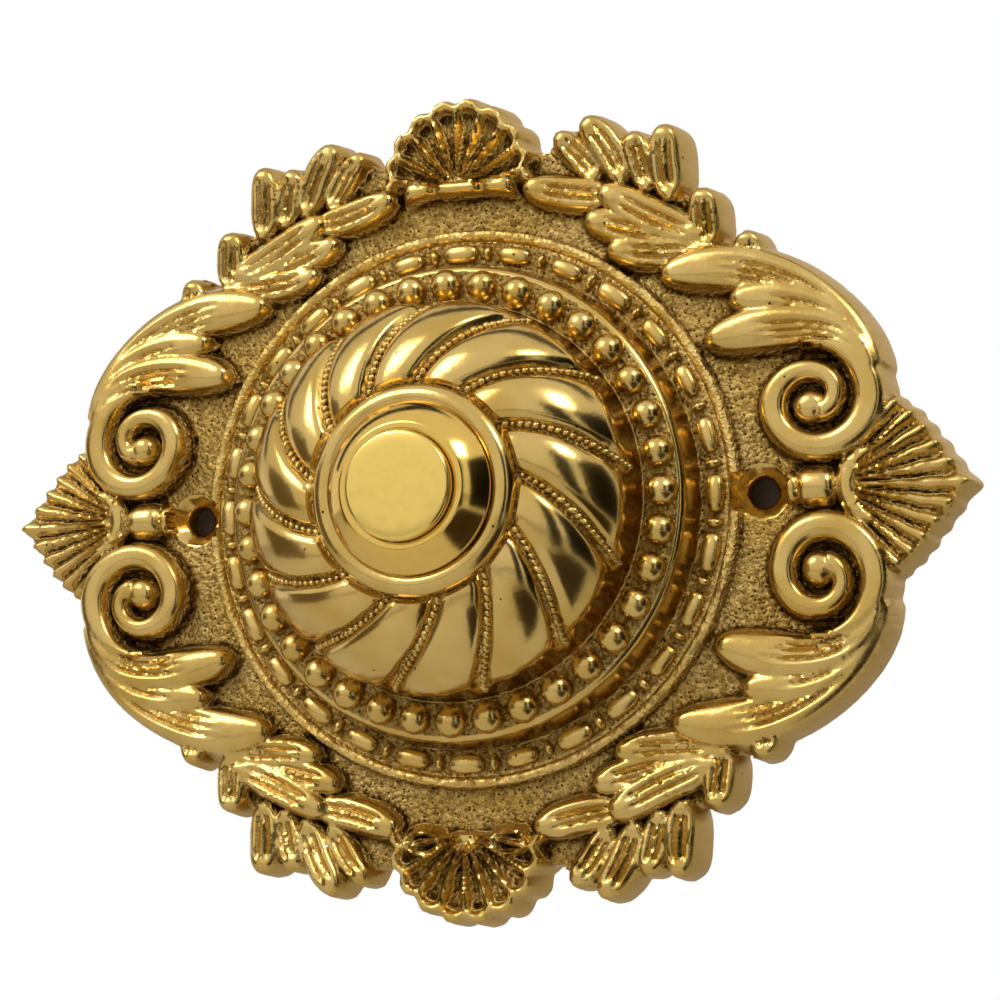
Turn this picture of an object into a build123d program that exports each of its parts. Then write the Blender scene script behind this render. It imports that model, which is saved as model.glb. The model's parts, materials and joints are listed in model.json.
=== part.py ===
from build123d import *
import math
import os

# Cast-brass bell push. Every piece is drawn with the plate lying on its back: X to the right, Y up the
# wall, Z out of the wall and the back face at Z = 0. The last step stands it up, facing -Y.

# Relief heights of the casting above the wall
GROUND_Z = 4.0
PAD_Z = 5.2
LEAF_RISE = 1.8
SCROLL_RISE = 2.3
SHELL_RISE = 2.4
RIB_RISE = 1.4

# A leaf: where it is widest, how far its crest is drawn in, and the share of its edges that a round tip takes
LEAF_WIDEST = 0.45
CREST_LENGTH = 0.75
CREST_WIDTH = 0.3
LEAF_BLUNT = 0.18
LOBE_BLUNT = 0.12
RIB_BLUNT = 0.05
TIP_ROUND = 0.45

# Middle boss: rim, reel channel, bead step, dome and collar
RIM_R = 35.0
RIM_WIDTH = 1.0
RIM_RISE = 1.3
CHANNEL_R = 33.6
CHANNEL_RISE = 0.7
STEP_FOOT_R = 30.6
STEP_R = 29.2
STEP_Z = 10.3
DOME_FOOT_R = 24.4
DOME_R = 24.0
DOME_SPRING_Z = 12.5
DOME_SAG = 2.6
COLLAR_R = 12.6
COLLAR_FOOT_Z = 22.6
COLLAR_Z = 24.4

# Repeated ornament on the boss
BEAD_COUNT = 36
BEAD_RING_R = 26.9
BEAD_R = 1.8
BEAD_RISE = 1.7
REEL_PAIRS = 28
REEL_RING_R = 32.1
OLIVE_LENGTH = 4.3
OLIVE_WIDTH = 2.3
OLIVE_RISE = 1.5
REEL_LENGTH = 1.2
REEL_WIDTH = 2.1
SWIRL_COUNT = 13
SWIRL_SWEEP = 29.0
SWIRL_START = 90.0
GROOVE_R = 1.3
GROOVE_DEPTH = 1.0

# Screw holes
HOLE_SPACING = 75.2
HOLE_R = 1.9
SINK_R = 3.6
SINK_TOP_Z = 4.2

# Hollow behind the dome
CAVITY_R = 21.5
CAVITY_WALL_Z = 8.0
WEB_R = 13.8
WEB_Z = 19.0

# Switch barrel screwed through the collar
BARREL_R = 8.9
BARREL_WALL = 1.0
BARREL_BACK_Z = 7.0
FLANGE_R = 10.2
FLANGE_EDGE = 1.1
BEZEL_FLAT_R = 7.5
BEZEL_Z = 27.3
BEZEL_LIP = 2.2
BEZEL_CROWN = 0.25
SEAT_DEPTH = 1.2
GASKET_T = 0.6
WASHER_T = 0.8
WASHER_R = 11.4
NUT_ACROSS_FLATS = 22.0
NUT_T = 3.0

# Button, plunger and contacts
BUTTON_R = 6.5
BUTTON_PROUD = 1.5
TRAVEL = 2.2
SKIRT_T = 2.4
SPRING_POCKET = 1.4
SOCKET_DEPTH = 2.6
SOCKET_WALL = 1.2
BUTTON_CHAMFER = 0.25
PLUNGER_R = 1.6
TAIL_R = 1.2
TAIL_IN_GUIDE = 1.8
BRIDGE_LENGTH = 10.6
BRIDGE_WIDTH = 3.2
BRIDGE_T = 0.5
TIP_R = 0.9
TIP_T = 0.3
RETAINER_R = 2.2
RETAINER_T = 0.3
SPRING_R = 6.2
SPRING_WIRE = 0.7
SPRING_TURNS = 4.0

# Insulating terminal base in the back of the barrel
BASE_T = 4.4
POST_SPACING = 7.6
POST_R = 1.5
POST_HEAD_R = 1.9
POST_HEAD_T = 0.8
TERMINAL_SCREW_R = 1.0
TERMINAL_HEAD_R = 2.1
TERMINAL_HEAD_T = 1.5
TERMINAL_SCREW_LENGTH = 4.0
TERMINAL_WASHER_T = 0.5
SLOT_WIDTH = 0.6
SLOT_DEPTH = 0.7
CIRCLIP_T = 1.0
CIRCLIP_WIDTH = 1.4
CIRCLIP_BITE = 0.4
CIRCLIP_GAP = 3.0
CIRCLIP_STEP = 0.6

# Fits
SLIDE_FIT = 0.08
LOOSE_FIT = 0.1
THREAD_FIT = 0.05
CONTACT_FIT = 0.02

# Leaves of one quarter: tip, root and width, upright ones round the shell first, then lying ones
LEAVES = [
    ((12.6, 46.9), (18.0, 39.8), 3.5),
    ((16.4, 48.4), (21.4, 39.2), 4.4),
    ((22.4, 46.0), (24.5, 38.0), 3.8),
    ((27.2, 46.6), (27.6, 36.8), 4.4),
    ((32.0, 38.6), (32.4, 30.5), 4.2),
    ((37.2, 32.6), (38.6, 25.0), 3.9),
    ((7.1, 40.3), (20.6, 37.8), 4.4),
    ((17.1, 39.2), (31.5, 32.2), 4.8),
    ((15.0, 35.4), (29.0, 32.0), 4.3),
    ((17.8, 31.3), (32.0, 30.4), 4.1),
]
# Acanthus lobes of one quarter: tip, far end, and a point on each edge
LOBES = [
    ((25.4, 27.1), (50.4, 20.4), (40.2, 29.3), (38.6, 23.4)),
    ((33.8, 23.2), (52.8, 14.6), (47.0, 24.2), (45.2, 19.4)),
    ((31.1, 17.6), (53.2, 12.6), (46.4, 22.3), (44.4, 16.6)),
]
# Field outline of one quarter, from the top middle round to the side
FIELD = [(0, 44), (10, 44.5), (19, 43), (27, 41), (29.5, 36), (33, 31.5), (40, 26), (49, 20.5), (52.6, 14),
         (53, 9), (55.8, 6), (58.2, 2.8), (60, 0)]

# Scroll: eye and growth of its spiral, measured back from the outer end
SCROLL_EYE = (44.8, 10.2)
SCROLL_R = 8.4
SCROLL_SHRINK = 0.56
SCROLL_TROUGH = 0.8
SCROLL_TURNS = 1.3
SCROLL_EYE_R = 1.8

# Scallop shell: hinge, flutes and rim
SHELL_HINGE_Y = 40.2
SHELL_FLUTES = 9
SHELL_SPREAD = 156.0
SHELL_SIDE_R = 9.6
SHELL_TOP_R = 12.0
FLUTE_R = 1.7
FLUTE_TAPER = 21.0
HINGE_BAR_LENGTH = 15.0
HINGE_BAR_WIDTH = 1.9

# Palmette at each side: root, ribs as angle and length, and the ball and neck that tie it to the scrolls
PALMETTE_X = 46.5
PALMETTE_RIBS = [(0, 16.3), (13, 14.3), (26, 13.1), (40, 12.2), (53, 11.6)]
RIB_WIDTH = 3.2
BALL_X = 44.9
BALL_R = 2.6
NECK_X = 42.7
NECK_R = 1.4

# Levels that follow from the sizes above
LOW = (Align.CENTER, Align.CENTER, Align.MIN)
FLANGE_Z = COLLAR_Z - SEAT_DEPTH + GASKET_T
LIP_Z = BEZEL_Z - BEZEL_LIP
BUTTON_Z = BEZEL_Z + BUTTON_PROUD
SKIRT_TOP_Z = LIP_Z - LOOSE_FIT / 2
SKIRT_Z = SKIRT_TOP_Z - SKIRT_T
POCKET_Z = SKIRT_Z + SPRING_POCKET
SOCKET_Z = SKIRT_Z + SOCKET_DEPTH
CIRCLIP_Z = BARREL_BACK_Z + CIRCLIP_STEP
BASE_Z = CIRCLIP_Z + CIRCLIP_T + BASE_T
BRIDGE_Z = BASE_Z + POST_HEAD_T + CONTACT_FIT + TRAVEL + TIP_T
TAIL_Z = BASE_Z - TAIL_IN_GUIDE


def polar(radius, degrees, height=0.0):
    """A point at a radius and an angle about the dome's axis."""
    return Vector(radius * math.cos(math.radians(degrees)), radius * math.sin(math.radians(degrees)), height)


def crescent(tip, root, first_mid, second_mid, blunt):
    """A leaf outline: two arcs from the root, joined by a round tip."""
    first = ThreePointArc(root, first_mid, tip).trim(0, 1 - blunt)
    second = ThreePointArc(tip, second_mid, root).trim(blunt, 1)
    middle = (first @ 1 + second @ 0) / 2
    width = (second @ 0 - first @ 1).length
    nose = middle + (Vector(*tip) - middle).normalized() * width * TIP_ROUND
    return make_face([first, ThreePointArc(first @ 1, nose, second @ 0), second])


def leaf_points(tip, root, width):
    """The four points of a straight leaf of a given width."""
    tip = Vector(*tip)
    along = Vector(*root) - tip
    side = Vector(-along.Y, along.X).normalized() * (width / 2)
    middle = tip + along * LEAF_WIDEST
    return tip, tip + along, middle + side, middle - side


def crested(tip, root, first_mid, second_mid, blunt, rise):
    """A leaf's relief: its outline on the pad drawn in to a narrow crest."""
    tip, root, first_mid, second_mid = [Vector(*point) for point in (tip, root, first_mid, second_mid)]
    middle = (first_mid + second_mid) / 2
    ends = [middle + (end - middle) * CREST_LENGTH for end in (tip, root)]
    mids = [middle + (mid - middle) * CREST_WIDTH for mid in (first_mid, second_mid)]
    foot = Pos(0, 0, PAD_Z) * crescent(tip, root, first_mid, second_mid, blunt)
    return loft([foot, Pos(0, 0, PAD_Z + rise) * crescent(*ends, *mids, blunt)], ruled=True)


def four_ways(shapes):
    """Copies of quarter shapes mirrored to all four quarters."""
    right = list(shapes) + [mirror(s, Plane.XZ) for s in shapes]
    return right + [mirror(s, Plane.YZ) for s in right]


def raised(outlines, rise, taper=0.0):
    """Relief standing on the pads."""
    return [extrude(Pos(0, 0, PAD_Z) * o, rise, taper=taper) for o in outlines]


def scroll_edge(inner):
    """One edge of the scroll's band, winding in towards the eye; a trough parts it from its next turn."""
    steps = round(SCROLL_TURNS * 8)
    points = []
    for step in range(steps + 1):
        turns = SCROLL_TURNS * step / steps
        radius = SCROLL_R * SCROLL_SHRINK**turns
        radius = SCROLL_SHRINK * radius + SCROLL_TROUGH if inner else radius
        points.append(polar(radius, 30 - 360 * turns) + Vector(*SCROLL_EYE))
    return Spline(*points)


def scroll_ridge():
    """The scroll's band between its two spirals."""
    outer = scroll_edge(inner=False)
    inner = scroll_edge(inner=True)
    return make_face([outer, Line(outer @ 1, inner @ 1), inner, Line(inner @ 0, outer @ 0)])


def shell_flutes():
    """Flutes of the upper shell, spread about its hinge."""
    flutes = []
    for index in range(SHELL_FLUTES):
        angle = 90 + SHELL_SPREAD * (index / (SHELL_FLUTES - 1) - 0.5)
        reach = SHELL_SIDE_R + (SHELL_TOP_R - SHELL_SIDE_R) * math.sin(math.radians(angle)) - FLUTE_R
        wedge = make_face(Polyline((0, 0), (reach, -FLUTE_R), (reach, FLUTE_R), close=True))
        flutes.append(Pos(0, SHELL_HINGE_Y) * Rot(0, 0, angle) * (wedge + Pos(reach, 0) * Circle(FLUTE_R)))
    return flutes


def palmette_ribs():
    """Ribs of the right-hand palmette."""
    angles = PALMETTE_RIBS + [(-angle, length) for angle, length in PALMETTE_RIBS[1:]]
    root = Vector(PALMETTE_X, 0)
    return [leaf_points(root + polar(length, angle), root, RIB_WIDTH) for angle, length in angles]


def boss():
    """The turned middle of the casting, solid: rim, channel, bead step, dome and collar."""
    chord = Vector(DOME_R - COLLAR_R, DOME_SPRING_Z - COLLAR_FOOT_Z)
    crown = Vector((DOME_R + COLLAR_R) / 2, (DOME_SPRING_Z + COLLAR_FOOT_Z) / 2)
    crown = crown + Vector(-chord.Y, chord.X).normalized() * DOME_SAG
    channel_z = GROUND_Z + CHANNEL_RISE
    lip_r = FLANGE_R + LOOSE_FIT
    outline = Polyline(
        (0, 0), (RIM_R, 0), (RIM_R, GROUND_Z + RIM_RISE), (RIM_R - RIM_WIDTH, GROUND_Z + RIM_RISE),
        (CHANNEL_R, channel_z), (STEP_FOOT_R, channel_z), (STEP_R, STEP_Z), (DOME_FOOT_R, STEP_Z),
        (DOME_R, DOME_SPRING_Z),
    )
    dome = ThreePointArc((DOME_R, DOME_SPRING_Z), crown, (COLLAR_R, COLLAR_FOOT_Z))
    slant = math.sqrt(0.5)
    shoulder = (lip_r + (COLLAR_R - lip_r) * slant, COLLAR_FOOT_Z + (COLLAR_Z - COLLAR_FOOT_Z) * slant)
    lip = ThreePointArc((COLLAR_R, COLLAR_FOOT_Z), shoulder, (lip_r, COLLAR_Z))
    top = Polyline((lip_r, COLLAR_Z), (0, COLLAR_Z), (0, 0))
    profile = make_face([outline, dome, lip, top])
    return revolve(Plane.XZ * profile, Axis.Z), crown


def swirl_grooves(crown):
    """Round-bottomed grooves that sweep down the dome, as tubes to cut away."""
    lift = GROOVE_R - GROOVE_DEPTH
    start = polar(COLLAR_R + GROOVE_R, SWIRL_START, COLLAR_FOOT_Z + lift)
    middle = polar(crown.X + lift * 0.7, SWIRL_START - SWIRL_SWEEP / 2, crown.Y + lift * 0.7)
    end = polar(DOME_R + lift, SWIRL_START - SWIRL_SWEEP, DOME_SPRING_Z + lift)
    path = ThreePointArc(start, middle, end)
    section = Plane(origin=path @ 0, z_dir=path % 0) * Circle(GROOVE_R)
    groove = sweep(section, path)
    return [Rot(0, 0, 360 * index / SWIRL_COUNT) * groove for index in range(SWIRL_COUNT)]


def ring_ornament():
    """Beads on the step, and the run of olives and reels in the channel."""
    bead = Cone(BEAD_R, BEAD_R * 0.45, BEAD_RISE, align=LOW)
    beads = [Pos(0, 0, STEP_Z) * loc * bead for loc in PolarLocations(BEAD_RING_R, BEAD_COUNT)]
    channel = Pos(0, 0, GROUND_Z + CHANNEL_RISE)
    olive = extrude(Rectangle(OLIVE_WIDTH, OLIVE_LENGTH), OLIVE_RISE, taper=22)
    reel = extrude(Rectangle(REEL_WIDTH, REEL_LENGTH), OLIVE_RISE, taper=12)
    olives = [channel * loc * olive for loc in PolarLocations(REEL_RING_R, REEL_PAIRS)]
    half_pitch = Rot(0, 0, 180 / REEL_PAIRS)
    reels = [channel * half_pitch * loc * reel for loc in PolarLocations(REEL_RING_R, REEL_PAIRS)]
    return beads + olives + reels


def screw_hole():
    """Clearance hole with a countersink, open above the plate."""
    sink_depth = SINK_R - HOLE_R
    hole = Cylinder(HOLE_R, SINK_TOP_Z, align=LOW)
    sink = Pos(0, 0, SINK_TOP_Z - sink_depth) * Cone(HOLE_R, SINK_R, sink_depth, align=LOW)
    return hole + sink + Pos(0, 0, SINK_TOP_Z) * Cylinder(SINK_R, RIM_RISE + OLIVE_RISE, align=LOW)


def front_plate():
    """The one-piece casting with its relief, hollow back, collar bore and screw holes."""
    leaf_rows = [(*leaf_points(*row), LEAF_BLUNT) for row in LEAVES] + [(*row, LOBE_BLUNT) for row in LOBES]
    leaves = four_ways([crescent(*row) for row in leaf_rows])
    crests = four_ways([crested(*row, LEAF_RISE) for row in leaf_rows])
    ridges = four_ways([scroll_ridge()])
    eyes = four_ways([Pos(*SCROLL_EYE) * Circle(SCROLL_EYE_R)])
    scroll_floors = four_ways([Pos(*SCROLL_EYE) * Circle(SCROLL_R * SCROLL_SHRINK**0.55)])
    flutes = shell_flutes()
    flutes = flutes + [mirror(f, Plane.XZ) for f in flutes]
    bar = Pos(0, SHELL_HINGE_Y) * SlotOverall(HINGE_BAR_LENGTH, HINGE_BAR_WIDTH)
    bars = [bar, mirror(bar, Plane.XZ)]
    rib_rows = [(*row, RIB_BLUNT) for row in palmette_ribs()]
    ribs = [crescent(*row) for row in rib_rows]
    rib_crests = [crested(*row, RIB_RISE) for row in rib_rows]
    ribs = ribs + [mirror(r, Plane.YZ) for r in ribs]
    rib_crests = rib_crests + [mirror(r, Plane.YZ) for r in rib_crests]

    upper = [(-x, y) for x, y in reversed(FIELD[1:])] + FIELD
    lower = [(x, -y) for x, y in reversed(upper[1:-1])]
    field = make_face(Polyline(*upper, *lower, close=True))
    pads = Sketch() + leaves + ridges + scroll_floors + flutes + bars + ribs
    balls = [Pos(BALL_X, 0, GROUND_Z) * Sphere(BALL_R), Pos(NECK_X, 0, GROUND_Z) * Sphere(NECK_R)]
    middle, crown = boss()

    body = extrude(field, GROUND_Z) + extrude(pads, PAD_Z)
    body = body + crests + rib_crests + raised(ridges + eyes, SCROLL_RISE)
    body = body + raised(flutes, SHELL_RISE, FLUTE_TAPER) + raised(bars, SHELL_RISE)
    body = body + balls + [mirror(b, Plane.YZ) for b in balls] + middle + ring_ornament()
    body = body - swirl_grooves(crown)

    cavity = make_face(Polyline(
        (0, -1), (CAVITY_R, -1), (CAVITY_R, CAVITY_WALL_Z), (WEB_R, WEB_Z), (0, WEB_Z), close=True))
    bore = Cylinder(BARREL_R + LOOSE_FIT, 2 * COLLAR_Z)
    seat = Pos(0, 0, COLLAR_Z) * Cylinder(FLANGE_R + LOOSE_FIT, 2 * SEAT_DEPTH)
    holes = [Pos(side * HOLE_SPACING / 2, 0, 0) * screw_hole() for side in (-1, 1)]
    return body - revolve(Plane.XZ * cavity, Axis.Z) - bore - seat - holes


def turned(*points):
    """A turned piece from its half profile of radius and height."""
    return revolve(Plane.XZ * make_face(Polyline(*points, close=True)), Axis.Z)


def bezel_body():
    """Turned brass barrel: bevelled bezel, guide lip for the button, and the threaded body."""
    bore = BUTTON_R + SLIDE_FIT
    chamber = BARREL_R - BARREL_WALL
    outer = Polyline(
        (chamber, BARREL_BACK_Z), (BARREL_R, BARREL_BACK_Z), (BARREL_R, FLANGE_Z), (FLANGE_R, FLANGE_Z),
        (FLANGE_R, FLANGE_Z + FLANGE_EDGE),
    )
    rise = BEZEL_Z - FLANGE_Z - FLANGE_EDGE
    crown = ((FLANGE_R + BEZEL_FLAT_R) / 2 + BEZEL_CROWN, FLANGE_Z + FLANGE_EDGE + rise / 2 + BEZEL_CROWN)
    bevel = ThreePointArc((FLANGE_R, FLANGE_Z + FLANGE_EDGE), crown, (BEZEL_FLAT_R, BEZEL_Z))
    inner = Polyline(
        (BEZEL_FLAT_R, BEZEL_Z), (bore, BEZEL_Z), (bore, LIP_Z), (chamber, LIP_Z), (chamber, BARREL_BACK_Z))
    body = revolve(Plane.XZ * make_face([outer, bevel, inner]), Axis.Z)
    groove = turned(
        (chamber - LOOSE_FIT, CIRCLIP_Z), (chamber + CIRCLIP_BITE + LOOSE_FIT, CIRCLIP_Z),
        (chamber + CIRCLIP_BITE + LOOSE_FIT, CIRCLIP_Z + CIRCLIP_T),
        (chamber - LOOSE_FIT, CIRCLIP_Z + CIRCLIP_T))
    return body - groove


def push_button():
    """Turned brass button: proud face, retaining skirt, spring pocket and socket for the plunger."""
    skirt = BARREL_R - BARREL_WALL - LOOSE_FIT
    pocket = SPRING_R + SPRING_WIRE / 2 + LOOSE_FIT
    return turned(
        (0, SOCKET_Z), (PLUNGER_R, SOCKET_Z), (PLUNGER_R, SKIRT_Z), (PLUNGER_R + SOCKET_WALL, SKIRT_Z),
        (PLUNGER_R + SOCKET_WALL, POCKET_Z), (pocket, POCKET_Z), (pocket, SKIRT_Z), (skirt, SKIRT_Z),
        (skirt, SKIRT_TOP_Z), (BUTTON_R, SKIRT_TOP_Z), (BUTTON_R, BUTTON_Z - BUTTON_CHAMFER),
        (BUTTON_R - BUTTON_CHAMFER, BUTTON_Z), (0, BUTTON_Z))


def plunger():
    """Moulded plunger: pressed in the button, shouldered over the contact bridge, tail in the base."""
    return turned(
        (0, TAIL_Z), (TAIL_R, TAIL_Z), (TAIL_R, BRIDGE_Z + BRIDGE_T), (PLUNGER_R, BRIDGE_Z + BRIDGE_T),
        (PLUNGER_R, SOCKET_Z), (0, SOCKET_Z))


def contact_bridge():
    """Bronze strip that joins the two posts when the button is pressed."""
    strip = Rectangle(BRIDGE_LENGTH, BRIDGE_WIDTH) - Circle(TAIL_R)
    return Pos(0, 0, BRIDGE_Z) * extrude(strip, BRIDGE_T)


def contact_tips():
    """Silver contacts riveted under the ends of the bridge."""
    tip = Cylinder(TIP_R, TIP_T, align=LOW)
    return [Pos(side * POST_SPACING / 2, 0, BRIDGE_Z - TIP_T) * tip for side in (-1, 1)]


def ring(outer, inner, thickness, height):
    """A flat washer at a height."""
    return Pos(0, 0, height) * extrude(Circle(outer) - Circle(inner), thickness)


def return_spring():
    """Compression spring between the base and the button, drawn with a square section of wire."""
    length = POCKET_Z - BASE_Z - SPRING_WIRE - 2 * LOOSE_FIT
    path = Pos(0, 0, BASE_Z + SPRING_WIRE / 2 + LOOSE_FIT) * Helix(length / SPRING_TURNS, length, SPRING_R)
    section = Plane(origin=path @ 0, z_dir=path % 0) * Rectangle(SPRING_WIRE, SPRING_WIRE)
    return sweep(section, path, is_frenet=True)


def terminal_base():
    """Moulded insulating plug with a guide bore and two post holes."""
    disc = Circle(BARREL_R - BARREL_WALL - SLIDE_FIT) - Circle(TAIL_R + SLIDE_FIT)
    disc = disc - [Pos(side * POST_SPACING / 2, 0) * Circle(POST_R) for side in (-1, 1)]
    return Pos(0, 0, BASE_Z - BASE_T) * extrude(disc, BASE_T)


def contact_post():
    """Brass post: contact head over the base and a tapped shank through it."""
    depth = TERMINAL_SCREW_LENGTH - TERMINAL_WASHER_T + LOOSE_FIT
    tap = TERMINAL_SCREW_R + THREAD_FIT
    back = BASE_Z - BASE_T
    return turned(
        (0, back + depth), (tap, back + depth), (tap, back), (POST_R, back), (POST_R, BASE_Z),
        (POST_HEAD_R, BASE_Z), (POST_HEAD_R, BASE_Z + POST_HEAD_T), (0, BASE_Z + POST_HEAD_T))


def terminal_screw():
    """Slotted cheese-head screw for a bell wire, entered from the back."""
    seat = BASE_Z - BASE_T - TERMINAL_WASHER_T
    screw = turned(
        (0, seat - TERMINAL_HEAD_T), (TERMINAL_HEAD_R, seat - TERMINAL_HEAD_T), (TERMINAL_HEAD_R, seat),
        (TERMINAL_SCREW_R, seat), (TERMINAL_SCREW_R, seat + TERMINAL_SCREW_LENGTH),
        (0, seat + TERMINAL_SCREW_LENGTH))
    slot = Box(3 * TERMINAL_HEAD_R, SLOT_WIDTH, 2 * SLOT_DEPTH)
    return screw - Pos(0, 0, seat - TERMINAL_HEAD_T) * slot


def base_circlip():
    """Split ring sprung into the barrel behind the base."""
    outer = BARREL_R - BARREL_WALL + CIRCLIP_BITE
    gap = math.degrees(CIRCLIP_GAP / outer)
    arcs = [CenterArc((0, 0), radius, gap / 2 - 90, 360 - gap) for radius in (outer, outer - CIRCLIP_WIDTH)]
    ends = [Line(arcs[0] @ end, arcs[1] @ end) for end in (0, 1)]
    return Pos(0, 0, CIRCLIP_Z) * extrude(make_face(arcs + ends), CIRCLIP_T)


def bezel_nut():
    """Thin hexagon nut that clamps the barrel to the web behind the collar."""
    hexagon = RegularPolygon(NUT_ACROSS_FLATS / 2, 6, major_radius=False)
    return Pos(0, 0, WEB_Z - WASHER_T - NUT_T) * extrude(hexagon - Circle(BARREL_R + THREAD_FIT), NUT_T)


def on_posts(piece):
    """The same piece at both posts."""
    return [Pos(side * POST_SPACING / 2, 0, 0) * piece for side in (-1, 1)]


posts = on_posts(contact_post())
PIECES = {
    "front_plate": front_plate(),
    "bezel_body": bezel_body(),
    "seat_gasket": ring(FLANGE_R, BARREL_R + LOOSE_FIT, GASKET_T, FLANGE_Z - GASKET_T),
    "lock_washer": ring(WASHER_R, BARREL_R + LOOSE_FIT, WASHER_T, WEB_Z - WASHER_T),
    "bezel_nut": bezel_nut(),
    "push_button": push_button(),
    "return_spring": return_spring(),
    "plunger": plunger(),
    "contact_bridge": contact_bridge(),
    "contact_tips": contact_tips(),
    "bridge_retainer": ring(RETAINER_R, TAIL_R, RETAINER_T, BRIDGE_Z - RETAINER_T),
    "terminal_base": terminal_base(),
    "contact_post_left": posts[0],
    "contact_post_right": posts[1],
    "terminal_washers": on_posts(
        ring(TERMINAL_HEAD_R, TERMINAL_SCREW_R + LOOSE_FIT, TERMINAL_WASHER_T,
             BASE_Z - BASE_T - TERMINAL_WASHER_T)),
    "terminal_screws": on_posts(terminal_screw()),
    "base_circlip": base_circlip(),
}
os.makedirs("parts", exist_ok=True)
STAND_UP = Rot(90, 0, 0)
for name, piece in PIECES.items():
    solids = ShapeList(piece).solids() if isinstance(piece, list) else piece.solids()
    export_step(STAND_UP * Compound(solids), f"parts/{name}.step")
    print(name, len(solids), round(sum(s.volume for s in solids), 1))
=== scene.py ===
# %% [markdown]
# # An ornate cast-brass bell push
# The CAD pieces are the fixed frame of this scene: they say where everything is and what moves. Blender
# then gives each piece the surface that the real one has. All drawing is done in millimetres with the plate
# lying on its back (x right, y up the wall, z out of the wall), and is stood up when a mesh is made.

# %% Load the frame
import json
import math
from collections import namedtuple

import bmesh
import bpy
import numpy as np
from mathutils import Matrix, Vector
from mathutils.geometry import delaunay_2d_cdt
from mathutils.kdtree import KDTree


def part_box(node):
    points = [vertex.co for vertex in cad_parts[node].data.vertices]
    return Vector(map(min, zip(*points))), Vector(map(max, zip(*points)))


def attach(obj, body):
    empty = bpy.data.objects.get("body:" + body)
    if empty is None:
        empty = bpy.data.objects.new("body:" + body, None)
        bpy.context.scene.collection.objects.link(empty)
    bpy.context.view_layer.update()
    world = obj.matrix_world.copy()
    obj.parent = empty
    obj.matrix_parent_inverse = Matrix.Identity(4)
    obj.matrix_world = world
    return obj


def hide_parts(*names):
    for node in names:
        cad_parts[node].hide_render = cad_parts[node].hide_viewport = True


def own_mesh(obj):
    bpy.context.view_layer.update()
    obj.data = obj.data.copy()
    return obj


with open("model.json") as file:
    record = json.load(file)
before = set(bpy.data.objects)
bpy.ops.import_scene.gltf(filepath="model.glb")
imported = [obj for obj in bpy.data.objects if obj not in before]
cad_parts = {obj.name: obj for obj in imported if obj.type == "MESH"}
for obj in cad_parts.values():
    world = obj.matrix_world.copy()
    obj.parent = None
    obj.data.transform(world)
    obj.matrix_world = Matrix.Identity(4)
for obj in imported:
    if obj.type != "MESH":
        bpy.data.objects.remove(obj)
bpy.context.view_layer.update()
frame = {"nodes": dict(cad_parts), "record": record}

# %% [markdown]
# ## Materials
# The object is metal in several finishes, with a little rubber and phenolic inside. A shader is a tree of
# nodes, so one small function that adds a node with its settings and links keeps every tree short to write.
# Colours are written as the sRGB hex that the eye sees, and turned to a shader's linear light in one place.

# %% Nodes and colours
MM = 0.001


def linear(hex_colour):
    """sRGB hex to the linear colour that shaders use."""
    values = [int(hex_colour[i:i + 2], 16) / 255 for i in (1, 3, 5)]
    return [v / 12.92 if v <= 0.04045 else ((v + 0.055) / 1.055)**2.4 for v in values] + [1.0]


def add(tree, kind, inputs=None, output=0, **settings):
    """Adds a node and returns one of its outputs. An input is a plain value, or an output to link from."""
    node = tree.nodes.new(kind)
    for key, value in settings.items():
        setattr(node, key, value)
    for key, value in (inputs or {}).items():
        if isinstance(value, bpy.types.NodeSocket):
            tree.links.new(value, node.inputs[key])
        else:
            node.inputs[key].default_value = value
    return node.outputs[output] if node.outputs else None


def new_material(name):
    """A material with an empty node tree."""
    material = bpy.data.materials.new(name)
    material.use_nodes = True
    material.node_tree.nodes.clear()
    return material, material.node_tree


def per_mm(size):
    """Texture scale, in cells a metre, for a pattern of a size in millimetres."""
    return 1 / (size * MM)


print("a pattern of 1 mm has the texture scale", per_mm(1.0))

# %% [markdown]
# ### Sand-cast brass, buffed on the high places
# A casting comes out of the sand with a grainy skin. Buffing brightens only what the wheel can reach, so the
# hollows stay brown and rough, and their brown also paints the shade that falls into them. A mask could be
# painted for that, but the mesh can measure it: it carries an attribute, `hollow`, from 0 on the crests to 1
# in the deepest corners, and `wall` on its sides. The shader turns both into colour, roughness and grain.

# %% Cast brass
POLISHED = "#CAAB66"
WARM = "#BC9A50"
SIDES = "#B8954C"
# the two dark browns are tarnish in the hollows and also painted shade there; the darker one fills the
# deepest corners and the blowholes
TARNISH_AND_SHADE = "#6B4F20"
DEEP_TARNISH_AND_SHADE = "#33240E"
# Pattern sizes in millimetres. Real grains and pits are finer, and wouldn't show, so these are coarser.
GRAIN = 0.55
PIT = 0.75
CLOUD = 6.0
BLOWHOLE_PITCH = 3.4
# Settings of a Map Range node that eases at both ends, and of a Mix node for colours. Such a Mix node takes
# its factor at input 0 and its colours at 6 and 7, and gives the mixed colour at output 2.
EASED = {"interpolation_type": "SMOOTHSTEP"}
COLOURED = {"data_type": "RGBA"}


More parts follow.
